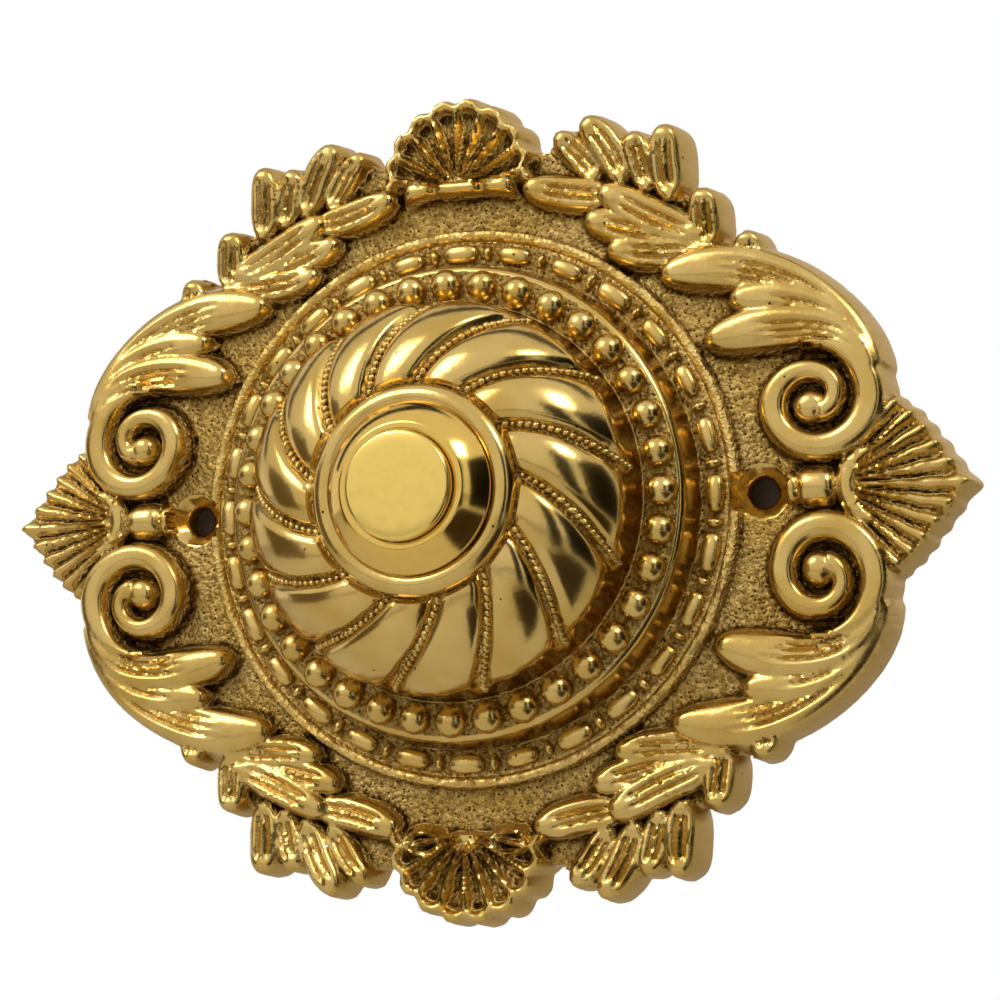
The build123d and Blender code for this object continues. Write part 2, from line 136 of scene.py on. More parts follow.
def cast_brass():
    """Brass: bright, smooth crests; satin sides; brown, dull, sandy hollows, the brown partly painted shade.
    """
    material, tree = new_material("cast_brass_buffed")
    place = add(tree, "ShaderNodeTexCoord", output="Object")
    hollow = add(tree, "ShaderNodeAttribute", output="Fac", attribute_name="hollow")
    wall = add(tree, "ShaderNodeAttribute", output="Fac", attribute_name="wall")
    grain = add(tree, "ShaderNodeTexNoise", {"Vector": place, "Scale": per_mm(GRAIN), "Detail": 3.0})
    cloud = add(tree, "ShaderNodeTexNoise", {"Vector": place, "Scale": per_mm(CLOUD), "Detail": 2.0})
    pits = add(tree, "ShaderNodeTexVoronoi", {"Vector": place, "Scale": per_mm(PIT)})
    blowholes = add(tree, "ShaderNodeTexVoronoi", {"Vector": place, "Scale": per_mm(BLOWHOLE_PITCH)})

    # The grain makes the edge of the brown uneven, and skin that was never buffed is browner in its pits,
    # where
    #     # the brown also paints the pits' shade.
    uneven = add(tree, "ShaderNodeMath", {0: grain, 1: 0.55, 2: -0.27}, operation="MULTIPLY_ADD")
    depth = add(tree, "ShaderNodeMath", {0: hollow, 1: uneven}, operation="ADD")
    in_pit = add(tree, "ShaderNodeMapRange", {"Value": pits, "From Min": 0.3, "From Max": 0.02}, **EASED)
    unbuffed_and_shaded = add(tree, "ShaderNodeMapRange",
                   {"Value": hollow, "From Min": 0.3, "From Max": 0.55, "To Max": 0.7}, **EASED)
    depth = add(tree, "ShaderNodeMath", {0: in_pit, 1: unbuffed_and_shaded, 2: depth}, operation="MULTIPLY_ADD")

    # Buffed brass is yellow in slow clouds and satin on its sides. Tarnish and painted shade lie over it in
    #     # layers, each of which says what it follows, and from which value to which it comes in.
    cloudy = add(tree, "ShaderNodeMapRange", {"Value": cloud, "From Min": 0.35, "From Max": 0.7}, **EASED)
    tone = add(tree, "ShaderNodeMix", {0: cloudy, 6: linear(POLISHED), 7: linear(WARM)}, 2, **COLOURED)
    tone = add(tree, "ShaderNodeMix", {0: wall, 6: tone, 7: linear(SIDES)}, 2, **COLOURED)
    layers = ((depth, 0.34, 0.84, TARNISH_AND_SHADE), (depth, 0.85, 1.15, DEEP_TARNISH_AND_SHADE), (blowholes, 0.07, 0.03, DEEP_TARNISH_AND_SHADE))
    for value, start, full, colour in layers:
        share = add(tree, "ShaderNodeMapRange",
                    {"Value": value, "From Min": start, "From Max": full}, **EASED)
        tone = add(tree, "ShaderNodeMix", {0: share, 6: tone, 7: linear(colour)}, 2, **COLOURED)

    rough = add(tree, "ShaderNodeMapRange",
                {"Value": depth, "From Min": 0.05, "From Max": 0.7, "To Min": 0.19, "To Max": 0.48}, **EASED)
    satin = add(tree, "ShaderNodeMath", {0: wall, 1: 0.28, 2: rough}, operation="MULTIPLY_ADD")
    sandy = add(tree, "ShaderNodeMapRange",
                {"Value": depth, "From Min": 0.36, "From Max": 0.7, "To Min": 0.02}, **EASED)
    pocked = add(tree, "ShaderNodeMath", {0: pits, 1: sandy}, operation="MULTIPLY")
    sand = add(tree, "ShaderNodeBump", {"Height": pocked, "Strength": 1.0, "Distance": 0.42 * MM})
    wavy = add(tree, "ShaderNodeBump",
               {"Height": cloud, "Strength": 0.25, "Distance": 0.25 * MM, "Normal": sand})
    shader = add(tree, "ShaderNodeBsdfPrincipled",
                 {"Base Color": tone, "Metallic": 1.0, "Roughness": satin, "Normal": wavy})
    add(tree, "ShaderNodeOutputMaterial", {"Surface": shader})
    return material


# Buffing gives the eye broad, bright lights on every crest, above a sandy ground whose brown is partly
# painted shade.
FINISH = {"cast_brass": cast_brass()}
print("cast brass", len(FINISH["cast_brass"].node_tree.nodes), "nodes")

# %% [markdown]
# ### Turned brass
# The bezel and the button come off a lathe. The tool leaves fine rings round the axis and hands leave rubbing
# marks. The rings could be modelled, but they are far shallower than a hair, so a shallow bump draws them,
# and the rubbing goes into colour and roughness.

# %% Turned brass
# A lathe's feed marks are about 0.1 mm apart. They are drawn further apart here, so that they show.
RING_PITCH = 1.57
RUB = 1.6


def turned_brass(name, colour, roughness):
    """Bright brass with clear reflections, faint rings round the axis and a few duller rubbed places."""
    material, tree = new_material(name)
    place = add(tree, "ShaderNodeTexCoord", output="Object")
    # a wave texture of scale 1 has 20 rings in 2 pi units
    rings = add(tree, "ShaderNodeTexWave",
                {"Vector": place, "Scale": 2 * math.pi / 20 * per_mm(RING_PITCH), "Distortion": 0.4},
                "Fac", wave_type="RINGS", rings_direction="Y")
    rub = add(tree, "ShaderNodeTexNoise", {"Vector": place, "Scale": per_mm(RUB), "Detail": 4.0})
    worn = add(tree, "ShaderNodeMapRange",
               {"Value": rub, "From Min": 0.4, "From Max": 0.75, "To Max": 0.2}, **EASED)
    tone = add(tree, "ShaderNodeMix", {0: worn, 6: linear(colour), 7: linear(WARM)}, 2, **COLOURED)
    rough = add(tree, "ShaderNodeMapRange", {"Value": rub, "From Min": 0.3, "From Max": 0.75,
                                             "To Min": roughness, "To Max": roughness + 0.05}, **EASED)
    cut = add(tree, "ShaderNodeBump", {"Height": rings, "Strength": 0.06, "Distance": 0.05 * MM})
    shader = add(tree, "ShaderNodeBsdfPrincipled",
                 {"Base Color": tone, "Metallic": 1.0, "Roughness": rough, "Normal": cut})
    add(tree, "ShaderNodeOutputMaterial", {"Surface": shader})
    return material


# Lacquer keeps the bezel bright: it shows the room as clear images in a deep yellow.
FINISH["turned_brass"] = turned_brass("lacquered_turned_brass", "#D8B25C", 0.12)
# Fingers take the shine off the button: it shows the room softly, in a paler yellow.
FINISH["polished_button_brass"] = turned_brass("satin_button_brass", "#E2C268", 0.2)
print("lathe rings every", RING_PITCH, "mm")

# %% [markdown]
# ### Stock finishes inside
# The pieces behind the plate are bought-in stock: plated, drawn, rolled or moulded. Each shows two close
# tones in a fine grain, so one function can draw all of them. The real grain is finer than it is drawn here,
# where it is as coarse as it needs to be to show.

# %% Stock finishes
def grained(name, first, second, metallic, roughness, grain):
    """Two close tones in a fine grain, which also roughens the surface."""
    material, tree = new_material(name)
    place = add(tree, "ShaderNodeTexCoord", output="Object")
    speck = add(tree, "ShaderNodeTexNoise", {"Vector": place, "Scale": per_mm(grain), "Detail": 3.0})
    share = add(tree, "ShaderNodeMapRange", {"Value": speck, "From Min": 0.35, "From Max": 0.65}, **EASED)
    tone = add(tree, "ShaderNodeMix", {0: share, 6: linear(first), 7: linear(second)}, 2, **COLOURED)
    rough = add(tree, "ShaderNodeMapRange", {"Value": speck, "From Min": 0.3, "From Max": 0.7,
                                             "To Min": roughness, "To Max": roughness + 0.12}, **EASED)
    bump = add(tree, "ShaderNodeBump", {"Height": speck, "Strength": 0.15, "Distance": 0.05 * MM})
    shader = add(tree, "ShaderNodeBsdfPrincipled",
                 {"Base Color": tone, "Metallic": metallic, "Roughness": rough, "Normal": bump})
    add(tree, "ShaderNodeOutputMaterial", {"Surface": shader})
    return material


FINISH |= {
    # pressed in a mould with carbon black: nearly black, without a highlight
    "black_rubber": grained("moulded_rubber", "#151412", "#211F1C", 0.0, 0.65, 0.4),
    # zinc from a plating bath: a pale grey with a soft, cloudy shine
    "plated_steel": grained("zinc_plated_steel", "#B9B6AC", "#A39F92", 1.0, 0.35, 0.5),
    # wire pulled through a die: a darker grey with a tight line of light along each coil
    "spring_steel": grained("drawn_spring_steel", "#8F8F8D", "#777673", 1.0, 0.28, 0.3),
    # resin and wood flour pressed hot: a dark brown with a low gloss
    "black_phenolic": grained("moulded_phenolic", "#2A1B12", "#38241A", 0.0, 0.38, 0.3),
    # strip from a rolling mill: a reddish metal with a broad, soft shine
    "phosphor_bronze": grained("rolled_phosphor_bronze", "#C08A57", "#A97648", 1.0, 0.3, 0.4),
    # a headed silver rivet: the whitest and brightest metal here
    "silver_contact": grained("silver_rivet", "#E3E1DA", "#CFCBC0", 1.0, 0.2, 0.3),
}
for row in frame["record"]["subparts"]:
    node_mesh = frame["nodes"][row["node"]].data
    node_mesh.materials.clear()
    node_mesh.materials.append(FINISH[row["material_slot"]])
print("finishes", sorted(FINISH))

# %% [markdown]
# ## The relief of the casting
# Cast relief has no undercuts, or it would lock in the sand. So the front needn't be sculpted: it can be
# drawn as one height for each point of the plate, and a change of one number then moves a whole form. A leaf
# or a scroll is a ribbon along a curve: a point's place along the curve and its distance beside it give its
# height.

# %% Ribbons
# an edge's height above the back, the slope of a side below it, and the length of a round tip
EDGE = 5.1
FALL = 2.4
TIP_ROUND = 1.6
# a vein's size, and the shares of a ribbon's way over which it comes in and goes out
VEIN_DEPTH = 0.6
VEIN_WIDTH = 0.32
VEIN_IN = 0.17
VEIN_OUT = (0.68, 0.84)


def bezier(controls, steps=48):
    """A Bezier curve of any degree, as points."""
    t = np.linspace(0, 1, steps)[:, None]
    top = len(controls) - 1
    return sum(math.comb(top, k) * t**k * (1 - t)**(top - k) * np.array(c) for k, c in enumerate(controls))


def beside(points, axis):
    """For each point, its share of the way along the axis and its signed distance beside it."""
    heading = np.gradient(axis, axis=0)
    stride = np.linalg.norm(heading, axis=1)
    heading = heading / stride[:, None]
    near = np.argmin(((points[:, None] - axis[None])**2).sum(2), axis=1)
    offset = points - axis[near]
    ahead = (offset * heading[near]).sum(1)
    side = heading[near, 0] * offset[:, 1] - heading[near, 1] * offset[:, 0]
    return (near + ahead / stride[near]) / (len(axis) - 1), side


def smooth(value, low, high):
    """A soft step from 0 to 1."""
    t = np.clip((value - low) / (high - low), 0, 1)
    return t * t * (3 - 2 * t)


def ribbon(points, axis, half_width, crest, veins, veins_from=0.08, roundness=2.8, lifted=0.0):
    """Height of a leaf-like ribbon: domed across, grooved by veins, falling away outside its edge."""
    along, side = beside(points, axis)
    length = np.linalg.norm(np.diff(axis, axis=0), axis=1).sum()
    half = half_width(np.clip(along, 0, 1)) + 1e-3
    past = np.maximum(np.maximum(-along, along - 1), 0) * length
    across = side / half
    lift = 0.5 + 0.5 * smooth(along, 0.0, lifted) if lifted else 1.0
    tip = np.clip(1 - (1 - along) * length / TIP_ROUND, 0, 1)
    dome = np.clip(1 - np.abs(across)**roundness, 0, 1) * (1 - tip**2.4)
    top = EDGE + (crest - EDGE) * lift * np.sqrt(dome)
    fade = smooth(along, veins_from, veins_from + VEIN_IN) * (1 - smooth(along, *VEIN_OUT))
    for vein in veins:
        top = top - VEIN_DEPTH * fade * np.exp(-((across - vein) * half / VEIN_WIDTH)**2)
    gap = np.hypot(np.maximum(np.abs(side) - half, 0), past)
    return np.where(gap > 0, EDGE - FALL * gap, top)


print("ribbons have their edge", EDGE, "mm above the back")

# %% [markdown]
# ### Leaves
# Ten laurel leaves lie in each quarter: six stand round the edge and four lie along it. Each was cut into the
# pattern with the same few gouges, so each is the same ribbon with its own tip, root, width and bend. The
# drawing of one quarter is folded about both axes later.

# %% Leaves
# tip, root, width, sideways bend and crest height of each leaf of a quarter
LEAVES = [
    ((12.6, 46.9), (18.0, 39.8), 3.5, -0.5, 6.4),
    ((16.4, 48.4), (21.4, 39.2), 4.4, -0.8, 6.9),
    ((22.4, 46.0), (24.5, 38.0), 3.8, -0.4, 6.7),
    ((27.2, 46.6), (27.6, 36.8), 4.4, 0.3, 7.0),
    ((32.0, 38.6), (32.4, 30.5), 4.2, 0.3, 6.8),
    ((37.2, 32.6), (38.6, 25.0), 3.9, 0.4, 6.6),
    ((18.6, 31.2), (32.0, 30.4), 4.1, 0.5, 6.7),
    ((15.8, 35.2), (29.0, 32.0), 4.3, 0.4, 6.9),
    ((17.9, 38.8), (31.5, 32.2), 4.8, 0.5, 7.1),
    ((7.9, 40.2), (20.6, 37.8), 4.4, 0.6, 7.0),
]
# as shares: places of the veins across a leaf, of its widest point along it, and its width at the root
LEAF_VEINS = (-0.28, 0.28)
LEAF_WIDEST = 0.45
LEAF_NECK = 0.35
# how far a leaf's round end stays behind the drawn tip
TIP_BACK = 0.5
Feature = namedtuple("Feature", "axis width half veins height")


def leaf_half(width):
    """Half width of a leaf from its root to its blunt, round tip."""
    def half(t):
        root = np.sqrt(np.clip(1 - (1 - t / LEAF_WIDEST)**2, 0, 1))
        tip = (1 - np.clip((t - LEAF_WIDEST) / (1 - LEAF_WIDEST), 0, 1)**3.4)**0.5
        return width / 2 * np.where(t < LEAF_WIDEST, np.maximum(root, LEAF_NECK), tip)
    return half


def leaf_feature(tip, root, width, bend, crest):
    """A bent ribbon that rises from its root and ends a little short of the drawn tip."""
    root = np.array(root)
    run = np.array(tip) - root
    run = run * (1 - TIP_BACK / np.linalg.norm(run))
    middle = root + run / 2 + np.array((-run[1], run[0])) / np.linalg.norm(run) * bend * 2
    axis = bezier([root, middle, root + run], 32)
    half = leaf_half(width)
    return Feature(axis, width, half, LEAF_VEINS,
                   lambda p: ribbon(p, axis, half, crest, LEAF_VEINS, lifted=0.8))


FEATURES = [leaf_feature(*leaf) for leaf in LEAVES]
print("leaves in a quarter", len(FEATURES))

# %% [markdown]
# ### Acanthus lobes
# Three long lobes grow out of each scroll, bend over and end bluntly. They could be sculpted as one mass, but
# as ribbons on Bezier curves each keeps its own four control points, which say how it bends. Each has two or
# three veins, which start clear of the scroll.

# %% Acanthus lobes
# control points from the scroll to the tip, width, crest height and vein places of each lobe
LOBES = [
    (((51.6, 14.0), (50.4, 21.6), (39.4, 30.0), (26.0, 27.2)), 6.2, 7.0, (-0.2, 0.15, 0.5)),
    (((51.4, 13.0), (50.8, 21.4), (44.0, 23.8), (34.6, 23.2)), 5.0, 7.1, (0.05, 0.45)),
    (((51.2, 11.6), (51.4, 20.6), (42.5, 21.4), (31.6, 17.9)), 5.8, 7.4, (-0.05, 0.3, 0.62)),
]
LOBE_BLUNT = 0.74


def lobe_feature(controls, width, crest, veins):
    """A ribbon that widens from the scroll and rounds off over the last quarter of its way."""
    axis = bezier(controls)

    def half(t):
        blunt = (1 - np.clip((t - LOBE_BLUNT) / (1 - LOBE_BLUNT), 0, 1)**2.6)**0.5
        return width / 2 * np.minimum(0.45 + 0.75 * t, 1.0) * blunt
    return Feature(axis, width, half, veins, lambda p: ribbon(p, axis, half, crest, veins, veins_from=0.3))


FEATURES += [lobe_feature(*lobe) for lobe in LOBES]
print("lobes in a quarter", len(LOBES))

# %% [markdown]
# ### The scroll
# The lobes spring from a volute, a band that winds in and ends in a round bulb, like a comma. A plain spiral
# would shrink too evenly for a carved one, so a short table gives its radius and width as it turns.

# %% Scroll
EYE = np.array((44.8, 10.2))
# turns from the outer end, middle radius and half width of the band
SCROLL = np.array([(-0.2, 7.2, 1.4), (0.08, 6.3, 2.1), (0.33, 5.55, 1.7), (0.58, 4.95, 1.75),
                   (0.83, 3.7, 1.3), (1.08, 2.1, 1.3), (1.3, 1.35, 1.35)])
SCROLL_START = 30
SCROLL_CREST = 7.5
SCROLL_FLOOR_R = 5.4
SCROLL_STEPS = 150
# the turns over which the table's corners are softened
SOFTEN = 0.12
BULB = np.array((44.2, 9.5))
BULB_R = 2.1
BULB_RISE = 2.4


def along_scroll(turns, values):
    """Values from the scroll's table at each turn, averaged over a short stretch so that no corner shows."""
    weights = np.hanning(25)[1:-1]
    padded = np.linspace(turns[0] - SOFTEN, turns[-1] + SOFTEN, len(turns) + len(weights) - 1, endpoint=False)
    return np.convolve(np.interp(padded, SCROLL[:, 0], values), weights / weights.sum(), "valid")


def scroll_feature():
    """The band, its bulb and the floor between its turns."""
    turns = np.linspace(SCROLL[0, 0], SCROLL[-1, 0], SCROLL_STEPS)
    middle = along_scroll(turns, SCROLL[:, 1])
    width = along_scroll(turns, SCROLL[:, 2])
    angle = np.radians(SCROLL_START - 360 * turns)
    axis = EYE + np.column_stack((middle * np.cos(angle), middle * np.sin(angle)))

    def half(t):
        return np.interp(t, np.linspace(0, 1, len(width)), width) * (0.25 + 0.75 * smooth(t, 0.0, 0.14))

    def height(p):
        band = ribbon(p, axis, half, SCROLL_CREST, (), roundness=3.6)
        floor = np.where(np.hypot(*(p - EYE).T) < SCROLL_FLOOR_R, EDGE - 0.5, 0)
        from_bulb = np.hypot(*(p - BULB).T) / BULB_R
        round_top = np.sqrt(np.clip(1 - from_bulb**3, 0, 1))
        bulb = np.where(from_bulb < 1, EDGE + BULB_RISE * round_top, 0)
        return np.maximum(np.maximum(band, bulb), floor)
    return Feature(axis, 4.0, half, (), height)


FEATURES.append(scroll_feature())
print("ribbons in a quarter", len(FEATURES))

# %% [markdown]
# ### Shells and palmettes
# A shell stands at the top and the bottom, and a palmette at each side. Both are fans: ridges radiate from a
# root, and the edge is scalloped. A fan could be a row of ribbons, but one cosine of the angle gives all its
# ridges at once, and they then meet cleanly at the root.

# %% Fans
DEGREES_A_RADIAN = 57


def fan(points, centre, facing, spread, pitch, reach, low, high, scallop, thin, border):
    """A fluted fan: ridges radiate from its root, and a raised border may run round its edge."""
    offset = points - np.array(centre)
    distance = np.hypot(*offset.T)
    angle = (np.degrees(np.arctan2(offset[:, 1], offset[:, 0])) - facing + 180) % 360 - 180
    ridge = np.abs(np.cos(np.pi * angle / pitch))
    edge = reach(np.abs(angle)) - scallop * ridge**3
    share = distance / edge
    rim = border * smooth(share, 0.80, 0.90)
    relief = np.maximum(ridge**thin * smooth(share, 0.05, 0.3), rim) * (1 - 0.5 * smooth(share, 0.95, 1.0))
    top = low + (high - low) * relief + 0.5 * (1 - smooth(share, 0.1, 0.5))
    beyond = np.maximum(np.abs(angle) - spread / 2, 0) / DEGREES_A_RADIAN
    gap = np.maximum(distance - edge, 0) + beyond * distance
    return np.where(gap > 0, EDGE - FALL * gap, top)


sample = fan(np.array([(5.0, 0.0), (0.0, 5.0)]), (0, 0), 0, 90, 15, lambda a: 10 + 0 * a,
             low=5.3, high=7.1, scallop=0.5, thin=2.0, border=1.0)
print("on a ridge and outside a fan:", sample.round(2))

# %% [markdown]
# ### The two shells
# Each shell has nine flutes with a raised border. They differ at the hinge: the upper shell has a lumpy bar
# there and the lower one two curls. One function makes both, so that a point only says which it belongs to.

# %% Shells
SHELL_Y = 40.2
SHELL_FLUTES = 9
SHELL_SPREAD = 156.0
SHELL_REACH = 9.7
UPPER_RISE = 2.4
LOWER_RISE = 1.9
HINGE_HALF = 7.4
HINGE_CREST = 6.8
NOTCH_X = 3.1
NOTCH_WIDTH = 0.6
NOTCH_DEPTH = 0.7
CURL_X = 5.4
CURL_Y = SHELL_Y + 1.2
CURL_HALF_WIDTH = 3.0
CURL_HALF_HEIGHT = 1.9
CURL_RISE = 2.0


def shell_height(p, below):
    """The shell with its hinge: a lumpy bar on the upper one, two curls on the lower one."""
    pitch = SHELL_SPREAD / (SHELL_FLUTES - 1)
    rise = np.where(below, LOWER_RISE, UPPER_RISE)
    shell = fan(p, (0, SHELL_Y), 90, SHELL_SPREAD + pitch, pitch,
                lambda a: SHELL_REACH + rise * np.cos(np.radians(a)),
                low=5.3, high=7.1, scallop=0.75, thin=4.0, border=1.0)
    hinge = np.array([(x, SHELL_Y + 0.2) for x in np.linspace(-HINGE_HALF, HINGE_HALF, 40)])
    bar = ribbon(p, hinge, lambda t: 0.95 + 0.4 * smooth(np.abs(t - 0.5), 0.25, 0.45), HINGE_CREST, ())
    bar = bar - NOTCH_DEPTH * np.exp(-((p[:, 0] - NOTCH_X) / NOTCH_WIDTH)**2)
    from_curl = np.hypot((p[:, 0] - CURL_X) / CURL_HALF_WIDTH, (p[:, 1] - CURL_Y) / CURL_HALF_HEIGHT)
    curl = EDGE - 0.2 + CURL_RISE * np.exp(-((from_curl - 0.72) / 0.24)**2)
    curl = curl - 4 * np.maximum(from_curl - 1.1, 0)
    return np.maximum(shell, np.where(below, curl, bar))


crests = shell_height(np.array([(0.0, 48.0), (0.0, 48.0)]), np.array([False, True]))
print("the shells' middle flutes are", crests.round(2), "mm high")

# %% [markdown]
# ### The palmettes and their balusters
# A palmette has fine ribs, longest in the middle, without a border, and a smooth round collar in front. A
# barrel-shaped baluster with a ring at its end joins it to the screw hole. Its two round forms are squashed
# balls, which need no curve at all.

# %% Palmettes and balusters
GROUND = 4.0
PALMETTE_X = 46.5
PALMETTE_SPREAD = 132
RIB_PITCH = 10.5
# degrees from the middle rib, and the palmette's reach there
PALMETTE_REACH = ((0, 15.9), (6, 14.6), (13, 13.8), (26, 12.8), (40, 12.5), (53, 12.3), (62, 11.0),
                  (70, 8.0), (80, 5.0))
COLLAR_X = 52.4
COLLAR_R = 4.2
COLLAR_CREST = 6.6
# middle, half length, half width, rise and squareness of the barrel, and of the ring at its inner end
BALUSTER = ((44.5, 2.7, 2.6, 2.9, 4), (41.5, 1.2, 2.3, 2.2, 2))


def palmette_height(p):
    """Fine ribs behind a smooth round collar."""
    angles, reaches = zip(*PALMETTE_REACH)
    bend = 0.05 * np.sin(p[:, 0] * 1.7 + p[:, 1]) * (p[:, 0] - PALMETTE_X) / 8
    ribs = fan(p + np.column_stack((0 * bend, bend)), (PALMETTE_X, 0), 0, PALMETTE_SPREAD, RIB_PITCH,
               lambda a: np.interp(a, angles, reaches),
               low=5.3, high=6.5, scallop=-0.4, thin=1.15, border=0.0)
    turn = np.radians(np.linspace(108, 200, 40))
    collar = np.column_stack((COLLAR_X + COLLAR_R * np.cos(turn), COLLAR_R * np.sin(turn)))
    collar_top = ribbon(p, collar, lambda t: 0.7 + 0.6 * smooth(t, 0.0, 0.6), COLLAR_CREST, ())
    return np.maximum(ribs, collar_top)


def baluster_height(p):
    """A barrel between the screw hole and the palmette, with a ring at its inner end."""
    height = np.zeros(len(p))
    for middle, half_length, half_width, rise, square in BALUSTER:
        round_off = 1 - np.abs((p[:, 0] - middle) / half_length)**square - (p[:, 1] / half_width)**2
        height = np.maximum(height, rise * np.sqrt(np.clip(round_off, 0, 1)))
    return GROUND + height


tip_z = palmette_height(np.array([(PALMETTE_X + 10, 0.0)]))
print("the palmette's middle rib is", tip_z.round(2), "mm high")

# %% [markdown]
# ### The whole ornament
# All heights are laid over each other and the highest wins, as when forms are pressed into one lump of clay.
# The quarters share one drawing, which is folded about both axes. A slow wave of the coordinates keeps them
# from being exact copies, as in a pattern cut by hand.

# %% Ornament
# sizes of the long and the short wave
SWAY = 0.28
RIPPLE = 0.14


def wave(points):
    """A slow sideways wave of a few tenths of a millimetre."""
    x, y = points.T
    shift_x = SWAY * np.sin(x / 9 + 0.6) * np.cos(y / 11 + 1.1) + RIPPLE * np.sin(y / 4.3 + x / 6.1)
    shift_y = SWAY * np.cos(x / 10 - 0.4) * np.sin(y / 8 + 0.3) + RIPPLE * np.cos(x / 4.7 - y / 5.3)
    return np.column_stack((shift_x, shift_y))


def ornament(points):
    """Height of the ornament alone, far below the plate where there is none."""
    folded = np.abs(points + wave(points))
    height = np.full(len(points), -50.0)
    for feature in FEATURES:
        margin = feature.width / 2 + 2.0
        low = feature.axis.min(0) - margin
        high = feature.axis.max(0) + margin
        near = np.all((folded > low) & (folded < high), axis=1)
        height[near] = np.maximum(height[near], feature.height(folded[near]))
    near = folded[:, 1] > SHELL_Y - 3
    height[near] = np.maximum(height[near], shell_height(folded[near], points[near, 1] < 0))
    near = folded[:, 0] > 39
    height[near] = np.maximum(height[near], palmette_height(folded[near]))
    height[near] = np.maximum(height[near], baluster_height(folded[near]))
    return height


print("shell tops", ornament(np.array([(0.0, 48.0), (0.0, -48.0)])).round(2))

# %% [markdown]
# ### The finished front
# Between the ornament lies a sandy ground. Each screw hole was countersunk by hand after casting, and the
# tool chattered, which leaves a few shallow waves in the cone. Both are drawn with sines on the height, where
# a texture would stay flat against the light.

# %% Front of the plate
# the screw holes' place and radius, the countersinks' radius and top, and the heights of chatter and sand
HOLE_X = 37.6
HOLE_R = 1.9
SINK_R = 3.6
SINK_Z = 4.2
CHATTER = 0.05
CHATTERS = 9
SAND = 0.09


def from_hole(points):
    """Distance of each point from the nearer screw hole's axis."""
    return np.hypot(np.abs(points[:, 0]) - HOLE_X, points[:, 1])


def sunk(points, height):
    """Cuts the two countersinks into a height."""
    distance = from_hole(points)
    turn = np.arctan2(points[:, 1], np.abs(points[:, 0]) - HOLE_X)
    sink = SINK_Z - (SINK_R - np.clip(distance, HOLE_R, None))
    sink = sink + CHATTER * np.cos(CHATTERS * turn) * smooth(distance, HOLE_R + 0.2, SINK_R - 0.5)
    return np.where(distance < SINK_R, np.minimum(height, sink), height)


def plate_height(points):
    """Height of the finished front outside the rim, with the countersinks cut in."""
    height = np.maximum(ornament(points), GROUND)
    x, y = points.T
    grit = SAND * np.sin(x * 5.1 + 3 * np.sin(y * 2.3)) * np.sin(y * 4.7 + 3 * np.sin(x * 1.9))
    height = height + grit * (1 - smooth(height, GROUND, GROUND + 0.8))
    return sunk(points, height)


print("ground near the rim", plate_height(np.array([(26.0, 24.5)])).round(2))

# %% [markdown]
# ### The outline
# The plate ends where its ornament ends, so its outline needn't be drawn: rays from the middle find the last
# solid point in each direction. The sides slope out a little to the back, so that the casting leaves its
# mould, and the outline is grown by that slope.

# %% Outline
# the plain field behind the ornament, in one quarter from the top middle round to the side
FIELD = [(0, 44), (10, 44.5), (19, 43), (27, 41), (29.5, 36), (33, 31.5), (40, 26), (49, 20.5), (52.6, 14),
         (53, 9), (55.8, 6), (58.2, 2.8), (60, 0)]
RAYS = 1240
# how far the sides slope out, and where they end above the back
DRAFT = 0.6
FOOT_Z = 0.9
field_line = np.array([(-x, y) for x, y in reversed(FIELD[1:])] + FIELD)
field_line = np.vstack((field_line, (field_line * (1, -1))[-2:0:-1]))


def inside(points, loop):
    """Which points lie inside a closed line."""
    result = np.zeros(len(points), bool)
    for (x0, y0), (x1, y1) in zip(loop, np.roll(loop, -1, axis=0)):
        crosses = (y0 > points[:, 1]) != (y1 > points[:, 1])
        with np.errstate(divide="ignore", invalid="ignore"):
            result ^= crosses & (points[:, 0] < (x1 - x0) * (points[:, 1] - y0) / (y1 - y0) + x0)
    return result


ray = 2 * np.pi * (np.arange(RAYS) + 0.5) / RAYS
steps_out = np.arange(40.0, 63.0, 0.08)
samples = np.stack((np.outer(np.cos(ray), steps_out), np.outer(np.sin(ray), steps_out)), axis=2)
samples = samples.reshape(-1, 2)
solid = (ornament(samples) > EDGE - 0.45) | inside(samples, field_line)
solid = solid.reshape(RAYS, len(steps_out))
carved_r = steps_out[len(steps_out) - 1 - np.argmax(solid[:, ::-1], axis=1)]
grown_r = carved_r.copy()
for k in range(-40, 41):
    neighbour_r = np.roll(carved_r, k)
    aside = neighbour_r * math.sin(2 * np.pi * k / RAYS)
    bulge = np.sqrt(np.clip(DRAFT**2 - aside**2, 0, None))
    reached = neighbour_r * math.cos(2 * np.pi * k / RAYS) + bulge
    grown_r = np.where(np.abs(aside) < DRAFT, np.maximum(grown_r, reached), grown_r)
outline_r = (np.roll(grown_r, 1) + 2 * grown_r + np.roll(grown_r, -1)) / 4
outline = np.column_stack((outline_r * np.cos(ray), outline_r * np.sin(ray)))
print("outline", outline.min(0).round(1), outline.max(0).round(1))

# %% [markdown]
# ### Near the edge
# The sloping sides and the satin finish on them both need a point's distance from the outline. A search tree
# over the outline's points finds the nearest one quickly, and points far inside are left out.

# %% Distance from the edge
outline_tree = KDTree(RAYS)
for k, (x, y) in enumerate(outline):
    outline_tree.insert((x, y, 0), k)
outline_tree.balance()


def to_outline(points):
    """Radius of each point, and the outline's radius in its direction."""
    turn = np.arctan2(points[:, 1], points[:, 0]) % (2 * np.pi)
    return np.hypot(*points.T), np.interp(turn, ray, outline_r, period=2 * np.pi)


def edge_distance(points):
    """Distance from the outline of the points near it, and a large number for the others."""
    radius, edge = to_outline(points)
    distance = np.full(len(points), 9.0)
    for k in np.flatnonzero(radius > edge - 6):
        distance[k] = outline_tree.find((*points[k], 0))[2]
    return distance


def drafted(points, height):
    """Lets the sides of the casting slope out to the back."""
    return np.minimum(height, FOOT_Z + (EDGE - FOOT_Z) / DRAFT * edge_distance(points))


one_in = outline[:1] * (1 - 1 / outline_r[0])
print("a point 1 mm further in is", edge_distance(one_in).round(2), "mm from the edge")

